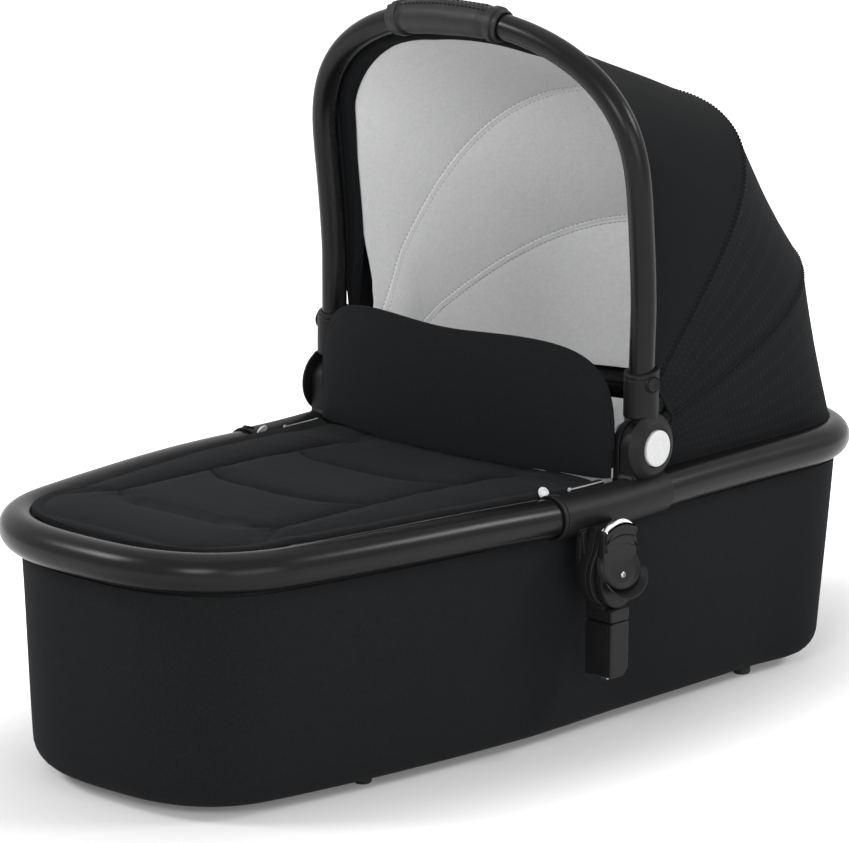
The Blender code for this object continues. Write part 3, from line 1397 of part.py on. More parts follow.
def make_rod(side, label):
    """Latch rod behind the slide, down through the plug."""
    outline = rectangle(
        ADAPTER_X - ROD_HALF_WIDTH, ADAPTER_X + ROD_HALF_WIDTH, PLUG_BOTTOM - ROD_TIP_DROP, ROD_TOP
    )
    start = side * ROD_INNER
    rod = prism("latch_rod_" + label, outline, start, side * (ROD_INNER + ROD_THICKNESS), "steel")
    head = rectangle(
        ADAPTER_X - ROD_HALF_WIDTH, ADAPTER_X + ROD_HALF_WIDTH, ROD_TOP - ROD_HEAD_HEIGHT, ROD_TOP
    )
    return union(rod, prism("head", head, start, side * (SLIDE_INNER - GAP), "steel"))


def make_slide_screw(side, label):
    start = SLIDE_OUTER + GAP
    profile = [
        (SCREW_RADIUS, start),
        (SCREW_RADIUS, start + SCREW_HEIGHT / 2),
        (SCREW_RADIUS / 2, start + SCREW_HEIGHT),
    ]
    centre = (ADAPTER_X, 0, ADAPTER_HEIGHT)
    return turned("slide_screw_" + label, centre, (0, side, 0), profile, "steel", SMALL_SIDES)


# The whole carrycot


def make_side(side, label, handle_group):
    make_hinge_housing(side, label)
    make_hinge_pin(side, label)
    hang_on(make_hinge_cap(side, label), handle_group)
    hang_on(make_hinge_button(side, label), handle_group)
    hang_on(make_collar_button(side, label), handle_group)
    make_bracket(side, label)
    make_adapter_body(side, label)
    make_plug_tip(side, label)
    slide_place = Vector((ADAPTER_X, side * SLIDE_INNER, ADAPTER_HEIGHT))
    slide_group = pivot_group("release_slide_way_" + label, slide_place)
    hang_on(make_release_slide(side, label), slide_group)
    hang_on(make_trim(side, label), slide_group)
    hang_on(make_rod(side, label), slide_group)
    hang_on(make_slide_screw(side, label), slide_group)


def main():
    clear_scene()
    make_rim()
    make_feet()
    make_cover()
    make_shell()
    make_padding()
    make_board()
    make_tub_lining()
    make_mattress()
    make_apron()
    make_studs()
    hinge = Vector((HINGE_X, 0, HINGE_HEIGHT))
    handle_group = pivot_group("handle_pivot", hinge)
    hang_on(make_handle(), handle_group)
    hang_on(make_grip(), handle_group)
    hang_on(make_flap(), pivot_group("flap_fold", flap_axis()))
    for number, section, angle in ((1, rib_1_section(), RIB_1_ANGLE), (2, rib_2_section(), RIB_2_ANGLE)):
        rib_group = pivot_group("rib_pivot_" + str(number), hinge)
        hang_on(make_rib(number, section, angle), rib_group)
    make_canopy()
    for side, label in ((-1, "right"), (1, "left")):
        make_side(side, label, handle_group)


main()
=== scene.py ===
"""Looks of the carrycot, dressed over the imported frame.

Metres, in the frame's axes: +X towards the head end, +Z up, the right side at -Y. Many sizes share
a name with one in the part's source. About a third of those have another value here, mostly fitted
to the photograph, so the pieces don't lie exactly on their solids.
"""
import math

import bmesh
import bpy
from mathutils import Matrix, Vector, noise


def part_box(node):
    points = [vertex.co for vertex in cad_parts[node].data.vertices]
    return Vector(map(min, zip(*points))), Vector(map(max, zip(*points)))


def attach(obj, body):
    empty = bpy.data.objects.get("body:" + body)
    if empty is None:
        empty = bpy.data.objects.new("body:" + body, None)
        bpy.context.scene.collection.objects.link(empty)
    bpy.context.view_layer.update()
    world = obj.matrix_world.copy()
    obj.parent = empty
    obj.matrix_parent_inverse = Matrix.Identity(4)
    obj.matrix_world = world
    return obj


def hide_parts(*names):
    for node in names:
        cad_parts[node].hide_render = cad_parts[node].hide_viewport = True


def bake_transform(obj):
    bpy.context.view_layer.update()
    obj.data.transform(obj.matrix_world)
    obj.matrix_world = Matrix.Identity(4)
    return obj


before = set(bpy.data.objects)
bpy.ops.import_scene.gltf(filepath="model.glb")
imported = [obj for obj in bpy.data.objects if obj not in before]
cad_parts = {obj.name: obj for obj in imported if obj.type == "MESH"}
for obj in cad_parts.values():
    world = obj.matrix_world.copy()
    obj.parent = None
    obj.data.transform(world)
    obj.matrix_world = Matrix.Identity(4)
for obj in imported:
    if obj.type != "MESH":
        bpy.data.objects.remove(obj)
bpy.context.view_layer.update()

# Camera that sees the object as the photograph does, in the photograph's own pixels
PHOTO_WIDTH = 849
PHOTO_HEIGHT = 843
FOCAL_PIXELS = 4797.6
AXIS_PIXEL = (426.45, 420.73)
SENSOR_WIDTH = 36
CAMERA_PLACE = (-3.0453, -2.7476, 1.2106)
CAMERA_AZIMUTH = -0.8374
CAMERA_ELEVATION = 0.2273
CAMERA_ROLL = 0.0110

# Rim
GAP = 0.0003
RIM_TUBE_RADIUS = 0.017
RIM_LENGTH = 0.860
RIM_HALF_WIDTH = 0.1855
RIM_HEIGHT = 0.2159
RIM_TAPER_START = 0.100
RIM_TAPER = 0.0612
FOOT_CORNER_LENGTH = 0.1055
FOOT_CORNER_POWER = 2.75
HEAD_CORNER_LENGTH = 0.122
HEAD_CORNER_POWER = 3.04
RIM_DIP = 0.0042
RIM_DIP_X = 0.010
RIM_DIP_REACH = 0.10
SLEEVE_START = -0.039
SLEEVE_END = 0.100
SLEEVE_SOCKET_DEPTH = 0.014
SLEEVE_RADIUS = 0.0188
BEAD_RADIUS = 0.0198
BEAD_WIDTH = 0.004
BEAD_GROOVE_DEPTH = 0.0012

# Tub
FOOT_HEIGHT = 0.008
COVER_TOP = 0.1958
COVER_TOP_INSET = 0.002
COVER_BASE_INSET = 0.013
COVER_EDGE_RADIUS = 0.028
COVER_THICKNESS = 0.0018
COVER_SEAM_X = 0.0045
COVER_HEAD_REACH = 0.0055
COVER_FOOT_REACH = 0.0026
COVER_SIDE_DRAW = 0.0060
SHELL_THICKNESS = 0.0028
SHELL_LIP_INSET = 0.0195
SHELL_LIP_TOP = 0.2196
SHELL_TOP_DROP = 0.001
SHELL_LIP_SETBACK = 0.002
SHELL_LIP_DEPTH = 0.006
SHELL_LIP_SHARE = 0.9
SHELL_BASE_INSETS = (0.16, 0.08)
SHELL_STEPS = 10
LINING_OUTER_TOP = 0.0223
LINING_THICKNESS = 0.0020
LINING_TOP = 0.2055
LINING_FLOOR_INSETS = (0.14, 0.08)
LINING_FLOOR = 0.0191
MATTRESS_EDGE = 0.0432
MATTRESS_FLOOR = 0.0214
MATTRESS_THICKNESS = 0.026
MATTRESS_SIDE_RADIUS = 0.006
MATTRESS_CROWN = 0.004
MATTRESS_CENTRE_SHIFT = 0.01
MATTRESS_CENTRE_SHARE = 0.5
MATTRESS_PUFF_SHARE = 2.2
MATTRESS_QUILT_RISE = 0.0012
MATTRESS_QUILT_WAVES = 62
MATTRESS_RING_STEPS = 26
WELT_RADIUS = 0.0016
WELT_SIDES = 8

# Apron
APRON_END = 0.045
APRON_EDGE_INSET = 0.0150
APRON_EDGE_HEIGHT = 0.2293
APRON_EDGE_THICKNESS = 0.004
APRON_THICKNESS = 0.0075
APRON_CROWN = 0.0015
APRON_WALL_HEIGHT = 0.0048
APRON_WALL_START = -0.160
APRON_WALL_FULL = -0.060
APRON_END_DROP = 0.0045
APRON_DROP_START = -0.020
APRON_DROP_FULL = 0.015
APRON_SEAM_PITCH = 0.112
APRON_FIRST_SEAM = -0.2815
APRON_SEAM_BULGE = 0.027
APRON_SEAM_POWER = 3.4
APRON_LONG_SEAM_HALF_WIDTH = 0.0925
APRON_SEAM_SPREAD = 0.55
APRON_CROSS_SEAMS = 3
APRON_BORDER = 0.013
APRON_PILLOW_DROP = 0.0010
APRON_PILLOW_DEPTH = 0.0050
APRON_SEAM_DEPTH = 0.0018
BORDER_SEAM_SHARE = 0.75
PILLOW_CREASE_WIDTH = 0.0105
SEAM_CREASE_WIDTH = 0.0019
APRON_RUMPLES = ((30, 30, 0, 0.0006), (75, 60, 4, 0.0003))
APRON_ROUND_SHARE = 0.75
APRON_LEAST_THICKNESS = 0.0006
APRON_EDGE_ROUND = 0.0040
RIVET_X = 0.0006
EDGING_RISE = 0.0034
EDGING_RADIUS = 0.0007
FLAP_EDGING_RADIUS = 0.0009
APRON_SIDE_START = -0.160

# Wind flap
FLAP_HALF_WIDTH = 0.1710
FLAP_TOP = 0.3440
FLAP_TOP_DIP = 0.0035
FLAP_FOOT_DROP = 0.0016
FLAP_BASE_X = 0.0244
FLAP_BOW = 0.0300
FLAP_THICKNESS = 0.010
FLAP_EDGE_THICKNESS = 0.004
FLAP_CORNER_POWER = 5.6
FLAP_CORNER_ROUND = 0.23
FLAP_CLEARANCE = 0.0012
FLAP_BORDER = 0.009

# Snap studs
STUD_X = -0.0308
STUD_RADIUS = 0.0058
STUD_HEIGHT = 0.0022
STUD_RISE = 0.0046
STUD_LEAN = 0.60
STUD_INSET = 0.0002
STUD_ROUNDING = 0.0004
STUD_SIDES = 48
STUD_SECTION = (
    (0.5, 0),
    (1, 0),
    (1, 0.55, 0.0006),
    (0.78, 1, 0.0007),
    (0.60, 1, 0.0004),
    (0.46, 0.66, 0.0004),
    (0.10, 0.70),
)

# Hinge
HINGE_X = 0.0788
HINGE_HEIGHT = 0.2572
HINGE_BASE_INNER = 0.1672
HINGE_BASE_RADIUS = 0.0205
HINGE_BASE_OUTER = 0.1914
HINGE_SLIT = 0.1752
HOUSING_EDGE = 0.0010
SLIT_HALF_WIDTH = 0.0006
FLARE_OVERHANG = 0.004
FLARE_SETBACK = 0.001
FLARE_RISE = 0.0035
FLARE_ROUNDING = 0.0025
TAB_LENGTH = 0.010
TAB_CREST_LENGTH = 0.003
TAB_HALF_WIDTH = 0.003
TAB_SINK = 0.002
TAB_RISES = (0.0004, 0.0026, 0.0022)
TAB_ROUNDING = 0.0012
MOULD_EDGE = 0.0008
POCKET_GAP = 0.0006
POCKET_FLOOR = 0.0012
CAP_RIM_HEIGHT = 0.0022
CAP_RIM_TAPER = 0.0004
CAP_FLANK_WIDTH = 0.0040
CAP_FLANK_DROP = 0.0014
CAP_LIP_WIDTH = 0.0010
HANDLE_BORE_GAP = 0.0003
COLLAR_CHAMFER = 0.0015
COLLAR_CHAMFER_HEIGHT = 0.0020
COLLAR_GROOVE_DEPTH = 0.0006
COLLAR_GROOVE_DROPS = (0.0050, 0.0044, 0.0038)
COLLAR_LIP_WIDTH = 0.0010
COLLAR_BORE_DEPTH = 0.004
TILT_CLEAR_FOOT = 0.006
TILT_CLEAR_TOP = 0.008
NECK_LOW_SHARE = 1.05
NECK_HIGH_SHARE = 0.80
NECK_OVERLAP = 0.0030
NECK_ROUNDING = 0.0035
NECK_EDGE = 0.0016
BOSS_PROUD = 0.0006
BOSS_DEPTH = 0.008
BUTTON_DOME_WIDTH = 0.0014
BUTTON_DOME_DROP = 0.0004
BUTTON_DOME_RISE = 0.0001
SMALL_BUTTON_PROUD = 0.0004
SMALL_BUTTON_DEPTH = 0.0020
SMALL_BUTTON_DISHES = ((0.72, 0), (0.60, 0.0006), (0.25, 0.0009))
PEDESTAL_HALF_WIDTH = 0.0197
CAP_RADIUS = 0.0298
CAP_FACE_RADIUS = 0.0190
CAP_OUTER = 0.2010
HINGE_BUTTON_RADIUS = 0.0160
HINGE_BUTTON_PROUD = 0.0022
HINGE_BUTTON_DEPTH = 0.0038
COLLAR_RADIUS = 0.0154
COLLAR_TOP = 0.3240
COLLAR_FOOT = 0.2815
COLLAR_TILT = 0.22
COLLAR_BUTTON_DROP = 0.0108
COLLAR_BUTTON_TURN = math.radians(10)
COLLAR_BUTTON_RADIUS = 0.0062
COLLAR_BOSS_RADIUS = 0.0077
COLLAR_BUTTON_SEAT = 0.0032
COLLAR_STEP = 0.0006

# Handle
HANDLE_TUBE_RADIUS = 0.0113
HANDLE_FOOT_HALF_WIDTH = 0.1817
HANDLE_HALF_WIDTH = 0.1838
HANDLE_SHOULDER = 0.4728
HANDLE_TOP = 0.6132
HANDLE_SIDE_POWER = 2.113
HANDLE_TOP_POWER = 2.700
HANDLE_LEAN = 0.0317
HANDLE_LEAN_POWER = 1.34
HANDLE_LEAN_START_SHARE = 0.1776
GRIP_RADIUS = 0.0152
GRIP_HALF_LENGTH = 0.064
GRIP_OFFSET = 0.018
GRIP_BAND_WIDTH = 0.007
GRIP_BAND_RISE = 0.0010
GRIP_BORE_LENGTH = 0.003
GRIP_CROWN = 0.0004
GRIP_CROWN_BEND = 0.02
GRIP_ROUNDING = 0.001
GRIP_LOW_SECTION = (
    (0, 0, 0.0015),
    (0.70, 0, 0.0006),
    (0.75, 1, 0.0012),
    (1.65, 1, 0.0012),
    (1.75, 0, 0.0008),
    (2.05, 0, 0.0010),
    (3.2, 2, 0.006),
)
GRIP_HIGH_SECTION = (
    (3.2, 2, 0.006),
    (2.25, 0, 0.0010),
    (1.95, 0, 0.0008),
    (1.85, 1, 0.0012),
    (0.95, 1, 0.0012),
    (0.90, 0, 0.0006),
    (0, 0, 0.0015),
)
GRIP_SEAM_TURN = 1.35 * math.pi
GRIP_SEAM_WIDTH = 0.16
GRIP_SEAM_RISE = 0.0012
GRIP_CRUMPLE = 0.0005
GRIP_CRUMPLE_SCALES = (60, 2)
GRIP_STITCH_TURNS = (1.28 * math.pi, 1.42 * math.pi)
GRIP_STITCH_RISE = 0.0006
GRIP_STITCH_BANDS = (2.2, 2.4)

# Canopy
CANOPY_FOCUS = Vector((0.0511, 0, 0.2408))
CLOTH_THICKNESS = 0.0016
CLOTH_START = 0.085
CLOTH_FOOT_HALF_WIDTH = 0.176
FRONT_CLOTH_DROP = 0.002
FRONT_CLOTH_FOOT = 0.3037
FRONT_HEM_WIDTH = 0.017
FRONT_HEM_DEPTH = 0.014
FRONT_HEM_TOP_DEPTH = 0.0060
LINING_LAYER = 0.0078
LINING_CLOTH_THICKNESS = 0.0015
LINING_FOOT_EXTRA = 0.0120
RIB_1 = (math.radians(39.5), 0.3738, 0.185, 2.74, 0.1782)
RIB_2 = (math.radians(67.6), 0.3804, 0.141, 2.84, 0.1812)
LINING_LEAD = math.radians(0.8)
LINING_RIB_1_POWER = 2.56
LINING_RIB_ROOM = 0.0018
FRONT_SAG = 0.0010
MIDDLE_SAG = 0.0030
LAMP_TARGET = (0, 0, 0.3)
LAMPS = (
    ("right", (1.86, -2.19, 1.98), (1.0, 0.7), 38),
    ("left", (-1.8, 1.5, 1.9), (0.8, 0.7), 34),
    ("key", (-2.57, -1.50, 1.50), (1.0, 0.8), 34),
    ("front", (-1.0, -3.2, 1.0), (2.2, 1.2), 32),
    ("top", (0.1, 0.3, 3.0), (2.2, 1.8), 7),
)
SAG_PEAK_SCALE = 4 ** 4 / 3 ** 3
REAR_SAG = 0.0010
RIB_1_FOLD_SHARE = 0.59
RIB_2_FOLD_SHARE = 0.27
REAR_HEM_INSET = 0.010
REAR_HEM_END_INSET = 0.002
REAR_HEM_START = 0.117
RIB_ARM_END = 0.080
RIB_CLOTH_START = 0.135
FOLD_MARGIN = 0.009
ROLL_RIB_CLEARANCE = 0.0050
ROLL_THINNING_SHARE = 0.7
ROLL_WIDTH_SHARE = 0.45
ROLL_ROUNDING = 0.1
ROLL_SECTION = (
    (0.02, 0.5),
    (0.02, 0.0, 0.1),
    (0.98, 0.0, 0.1),
    (0.98, 0.80, 0.35),
    (0.62, 0.90, 0.2),
    (0.56, 0.84, 0.05),
    (0.50, 0.92, 0.2),
    (0.26, 1.0, 0.2),
    (0.20, 0.92, 0.05),
    (0.14, 1.0, 0.2),
    (0.02, 0.9, 0.3),
)
ROLL_DEEP_HALF_WIDTHS = (0.115, 0.050)
HANDLE_FOLD_LIMIT = math.radians(74)

# Chassis adapter
ADAPTER_X = 0.0056
ADAPTER_HEIGHT = 0.163
BRACKET_INNER = 0.1955
BRACKET_ROOT = 0.1835
BRACKET_OVERLAP = 0.006
MOUNT_SHARE = 0.6
MOUNT_OVERLAP = 0.002
MOUNT_EDGE = 0.001
BRACKET_RIB_CORNERS = ((-0.0231, 0.0150), (-0.0164, 0.0165), (-0.0215, 0.0390), (-0.0275, 0.0380))
BRACKET_RIB_ROUNDING = 0.0018
BRACKET_RIB_DEPTH = 0.003
BRACKET_RIB_PROUD = 0.0025
BRACKET_OUTER = 0.2005
BRACKET_HALF_WIDTH = 0.0268
DRUM_INNER = 0.2008
DRUM_OUTER = 0.2150
DRUM_RADIUS = 0.0300
DRUM_BLOCK_HALF_WIDTH = 0.0160
DRUM_BLOCK_TOP = 0.204
DRUM_GROOVE_WIDTH = 0.0004
DRUM_GROOVE_DEPTH = 0.0010
DRUM_INNER_EDGE = 0.0006
PLUG_ROUNDING = 0.0028
PLUG_UPPER_GAP = 0.0003
PLUG_LOWER_GAP = 0.0004
PLUG_OVERLAP = 0.002
LIP_TURNS = (190, 372)
LIP_STEPS = 56
LIP_WALL_STEPS = 9
LIP_ROOT_DEPTH = 0.004
LIP_RISE_POWER = 0.35
LIP_REACH_POWER = 1.6
LIP_THINNING_SHARE = 0.45
LIP_THINNING_POWER = 6
PLUG_HALF_WIDTH = 0.0120
PLUG_INNER = 0.1951
PLUG_OUTER = 0.2239
PLUG_TOP = 0.1322
PLUG_JOINT = 0.1207
PLUG_BOTTOM = 0.072
PLUG_CHAMFER = 0.006
SLIDE_INNER = 0.2153
SLIDE_OUTER = 0.2245
SLIDE_HALF_WIDTH = 0.0215
SLIDE_TOP = 0.207
SLIDE_ARCH = 0.0055
SLIDE_FOOT_HALF_WIDTH = 0.0242
SLIDE_FOOT_DEPTH = 0.0300
SLIDE_SHOULDER = 0.0160
SCOOP_HALF_WIDTH = 0.0226
SCOOP_HALF_HEIGHT = 0.0175
SCOOP_LIFT = 0.0065
SCOOP_PROUD = 0.0050
SCOOP_SUNK = 0.0034
LIP_ROOT = (0.0200, 0.0150)
LIP_TIP = (0.0250, 0.0188)
LIP_WALL = 0.0022
LIP_PROUD = 0.0118
TRIM_THICKNESS = 0.0046
TRIM_ARCH = 0.0098
TRIM_HALF_WIDTH = 0.0192
TRIM_DEPTH = 0.0065
SCREW_RADIUS = 0.0030
SLIDE_SETBACK = 0.0020
SLIDE_EDGE = 0.0012
SCOOP_SECTION = (
    (-0.0030, -0.0060),
    (-0.0026, -0.0030),
    (-0.0012, -0.0006),
    (0.0000, 0.0004),
    (0.0010, 0.0004),
    (0.0018, 0.0000),
    (0.0028, -0.0012),
    (0.0045, -0.0018),
    (0.0100, -0.0020),
    (0.0160, -0.0020),
)
BROW_BANDS = ((0.0088, 0.0006, 0.0), (0.0175, 0.0098, -0.0008))
BROW_ROUNDING = 0.0016
BROW_DEPTH = 0.005
TRIM_SETBACK = 0.0012
TRIM_INNER_LAYERS = ((0.0012, 0), (0.0004, 0.0002), (0, 0.0008))
TRIM_OUTER_LAYERS = ((0, 0.0016), (0.0003, 0.0006), (0.0007, 0.0001), (0.0010, 0))
SCREW_SEAT_DEPTH = 0.0021
SCREW_SECTION = (
    (1, -0.0008),
    (1, 0.0012, 0.0006),
    (0.62, 0.0020, 0.0008),
    (0.45, 0.0020, 0.0003),
    (0.40, 0.0008),
    (0.10, 0.0006),
)
SCREW_ROUNDING = 0.0003
SCREW_SIDES = 36

# Stitches
STITCH_LENGTH = 0.0030
STITCH_PITCH = 0.0046
STITCH_RADIUS = 0.00045

# Floor's glow, over shares of the rim's outline
GLOW_START = 0.9
GLOW_FULL = 2.4
GLOW_NEAR = 0.10

# Counts that set how fine the surfaces are
CORNER_STEPS = 22
SIDE_STEPS = 44
TUBE_SIDES = 40
ROUND_SIDES = 72
LEG_STEPS = 15
ARCH_STEPS = 27
FILLET_STEPS = 4
PANEL_STEPS = 7
SHARP_ANGLE = math.radians(50)

FOOT_END = RIM_TUBE_RADIUS - RIM_LENGTH / 2
HEAD_END = -FOOT_END
SIDES = ((-1, "right"), (1, "left"))


# Shares and outlines


def spaced(start, end, steps):
    """Evenly spaced values from start to end, both included."""
    return [start + (end - start) * step / steps for step in range(steps + 1)]


def smooth_share(value, start, full):
    """0 before start, 1 beyond full, and an even curve between them."""
    share = min(max((value - start) / (full - start), 0), 1)
    return share * share * (3 - 2 * share)


def ridge(distance, width):
    """1 at no distance, falling off in a soft bell."""
    return math.exp(-((distance / width) ** 2))


def crease(distance, width):
    """1 on a sewn line, falling off from a sharp bottom."""
    return math.exp(-abs(distance) / width)


def rounded(corners, radius, closed=False):
    """Corners in a plane with each turn rounded; a third value on a corner is its own radius."""
    outline = []
    count = len(corners)
    for index, corner in enumerate(corners):
        place = Vector(corner[:2])
        if not closed and index in (0, count - 1):
            outline.append(place)
            continue
        own = corner[2] if len(corner) > 2 else radius
        before = Vector(corners[index - 1][:2]) - place
        after = Vector(corners[(index + 1) % count][:2]) - place
        turn = before.angle(after)
        reach = own / max(math.tan(turn / 2), 0.05)
        reach = min(reach, before.length * 0.48, after.length * 0.48)
        start = place + before.normalized() * reach
        end = place + after.normalized() * reach
        for share in spaced(0, 1, FILLET_STEPS):
            outline.append(start.lerp(place, share).lerp(place.lerp(end, share), share))
    return outline


def finer(profile, step):
    """A profile with places added, so that none of its steps is longer than the one given."""
    places = [tuple(profile[0])]
    for end in profile[1:]:
        start = places[-1]
        count = max(math.ceil(math.dist(start, end) / step), 1)
        for number in range(1, count + 1):
            share = number / count
            places.append(tuple(low + (high - low) * share for low, high in zip(start, end)))
    return places


def arc_points(centre_x, centre_z, radius, start, end, steps):
    """Points of an arc, with angles in degrees counted from +X towards +Z."""
    points = []
    for angle in spaced(math.radians(start), math.radians(end), steps):
        points.append(Vector((centre_x + radius * math.cos(angle), centre_z + radius * math.sin(angle))))
    return points


# Meshes


def fill_uvs(mesh, uvs):
    """Writes a UV in metres for each corner of each face."""
    layer = mesh.uv_layers.new(name="cloth_plan")
    flat = [value for corner in uvs for value in corner]
    layer.data.foreach_set("uv", flat)


def close_mesh(name, points, faces, uvs):
    """A smooth closed mesh with its faces turned out."""
    mesh = bpy.data.meshes.new(name)
    mesh.from_pydata([tuple(point) for point in points], [], faces)
    fill_uvs(mesh, uvs)
    work = bmesh.new()
    work.from_mesh(mesh)
    bmesh.ops.recalc_face_normals(work, faces=work.faces)
    work.to_mesh(mesh)
    work.free()
    mesh.shade_smooth()
    mesh.set_sharp_from_angle(angle=SHARP_ANGLE)
    return mesh


def running_length(points):
    total = 0
    lengths = [0]
    for before, after in zip(points, points[1:]):
        total += (after - before).length
        lengths.append(total)
    return lengths


def ring_mesh(name, rings, joined=False, ends="fan"):
    """A mesh through rings of equal count. Its ends are fans, or ladders across a thin sheet."""
    count = len(rings[0])
    points = [point for ring in rings for point in ring]
    around = [running_length(ring + ring[:1]) for ring in rings]
    along = running_length([ring[0] for ring in rings] + ([rings[0][0]] if joined else []))
    faces, uvs = [], []
    for row in range(len(rings) if joined else len(rings) - 1):
        low = row * count
        high = (row + 1) % len(rings) * count
        upper = around[(row + 1) % len(rings)]
        for step in range(count):
            after = (step + 1) % count
            faces.append((low + step, low + after, high + after, high + step))
            uvs.append((around[row][step], along[row]))
            uvs.append((around[row][step + 1], along[row]))
            uvs.append((upper[step + 1], along[row + 1]))
            uvs.append((upper[step], along[row + 1]))
    if joined:
        return close_mesh(name, points, faces, uvs)
    for first in (0, len(points) - count):
        if ends == "fan":
            faces.append(tuple(range(first, first + count)))
            uvs += [(length, 0) for length in around[first // count][:-1]]
        else:
            for step in range(count // 2 - 1):
                back = count - 1 - step
                faces.append((first + step, first + step + 1, first + back - 1, first + back))
                uvs += [(step * GAP, 0), (step * GAP + GAP, 0), (step * GAP + GAP, GAP), (step * GAP, GAP)]
    return close_mesh(name, points, faces, uvs)


def sheet_mesh(name, front, back):
    """A thin sheet between two grids that lie one behind the other."""
    rings = [front_row + back_row[::-1] for front_row, back_row in zip(front, back)]
    return ring_mesh(name, rings, ends="ladder")


def round_ring(middle, first, second, radius, sides, flat_share=1):
    """Points once round a middle, from the first direction towards the second."""
    ring = []
    for step in range(sides):
        turn = 2 * math.pi * step / sides
        ring.append(middle + first * radius * math.cos(turn) + second * radius * flat_share * math.sin(turn))
    return ring


def directions_across(along, across):
    """Two directions square to a path, the first as close as it gets to the one given."""
    first = (across - along * across.dot(along)).normalized()
    return first, along.cross(first)


def turned_mesh(name, centre, axis, profile, sides=ROUND_SIDES, joined=False):
    """A turned mesh: profile holds (radius, distance along the axis) from end to end."""
    axis = Vector(axis).normalized()
    across = axis.orthogonal().normalized()
    other = axis.cross(across)
    rings = []
    for radius, along in profile:
        rings.append(round_ring(Vector(centre) + axis * along, across, other, radius, sides))
    return ring_mesh(name, rings, joined)


def inset_outline(outline, inset):
    """A closed outline in a plane, moved inwards."""
    area = 0
    for index, point in enumerate(outline):
        after = outline[(index + 1) % len(outline)]
        area += point.x * after.y - after.x * point.y
    way = 1 if area > 0 else -1
    moved = []
    for index, point in enumerate(outline):
        along = (outline[(index + 1) % len(outline)] - outline[index - 1]).normalized()
        moved.append(point + Vector((-along.y, along.x)) * inset * way)
    return moved


def pressed_mesh(name, outline, layers, side):
    """A moulded block: copies of an outline in X and Z, each (inset, distance from the middle)."""
    rings = []
    for inset, y in layers:
        rings.append([Vector((point.x, side * y, point.y)) for point in inset_outline(outline, inset)])
    return ring_mesh(name, rings)


def soft_layers(start, end, edge):
    """Layers of a block whose edges are rounded at both ends."""
    low = []
    for share in spaced(0, 1, FILLET_STEPS):
        turn = math.pi / 2 * share
        low.append((edge * (1 - math.sin(turn)), edge * (1 - math.cos(turn))))
    face = edge + edge
    layers = [(face, start)] + [(inset, start + depth) for inset, depth in low]
    layers += [(inset, end - depth) for inset, depth in low[::-1]] + [(face, end)]
    return layers


def block_mesh(name, outline, start, end, edge, side):
    """A moulded block between two distances from the middle, with rounded edges."""
    return pressed_mesh(name, outline, soft_layers(start, end, edge), side)


def direction_along(path, index):
    before = path[max(index - 1, 0)]
    after = path[min(index + 1, len(path) - 1)]
    return (after - before).normalized()


def sweep_rings(path, radii, sides, across, flat_share=1):
    """Round or flattened rings square to a path, turned to a fixed direction across it."""
    rings = []
    for index, (point, radius) in enumerate(zip(path, radii)):
        first, second = directions_across(direction_along(path, index), across)
        rings.append(round_ring(point, first, second, radius, sides, flat_share))
    return rings


def cord_mesh(name, path, radius, across, sides=10, flat_share=1, joined=False):
    rings = sweep_rings(path, [radius] * len(path), sides, across, flat_share)
    return ring_mesh(name, rings, joined)


def join_meshes(name, meshes):
    """One mesh of several shells."""
    work = bmesh.new()
    for mesh in meshes:
        work.from_mesh(mesh)
        bpy.data.meshes.remove(mesh)
    joined = bpy.data.meshes.new(name)
    work.to_mesh(joined)
    work.free()
    return joined


def even_places(path, pitch):
    """Places at an even pitch along a path, each with its index and share between two points."""
    lengths = running_length(path)
    places = []
    index = 0
    count = int(lengths[-1] / pitch)
    for number in range(count):
        length = (number + 0.5) * lengths[-1] / count
        while lengths[index + 1] < length:
            index += 1
        places.append((index, (length - lengths[index]) / max(lengths[index + 1] - lengths[index], GAP)))
    return places


STITCH_SHAPE_SHARES = ((-0.5, 0.3), (-0.38, 0.9), (0, 1.25), (0.38, 0.9), (0.5, 0.3))


def stitch_mesh(name, paths, weights=None):
    """Rows of thread stitches along paths of (point, outward direction), with each vertex's weight."""
    points, faces, uvs, spread = [], [], [], []
    sides = 6
    for number, path in enumerate(paths):
        line = [point for point, outward in path]
        for index, share in even_places(line, STITCH_PITCH):
            middle = line[index].lerp(line[index + 1], share)
            along = (line[index + 1] - line[index]).normalized()
            up = path[index][1].normalized()
            across = along.cross(up).normalized()
            first = len(points)
            for place, size in STITCH_SHAPE_SHARES:
                centre = middle + along * STITCH_LENGTH * place
                for step in range(sides):
                    turn = 2 * math.pi * step / sides
                    reach = STITCH_RADIUS * size
                    points.append(centre + (across * math.cos(turn) + up * math.sin(turn)) * reach)
                    if weights:
                        pair = weights[number][index : index + 2]
                        spread.append(pair[0] + (pair[1] - pair[0]) * share)
            for row in range(len(STITCH_SHAPE_SHARES) - 1):
                for step in range(sides):
                    low = first + row * sides
                    after = (step + 1) % sides
                    faces.append((low + step, low + after, low + sides + after, low + sides + step))
                    uvs += [(0, 0), (0, GAP), (GAP, GAP), (GAP, 0)]
            last = first + (len(STITCH_SHAPE_SHARES) - 1) * sides
            for start in (first, last):
                faces.append(tuple(range(start, start + sides)))
                uvs += [(0, 0)] * sides
    return close_mesh(name, points, faces, uvs), spread


# Materials


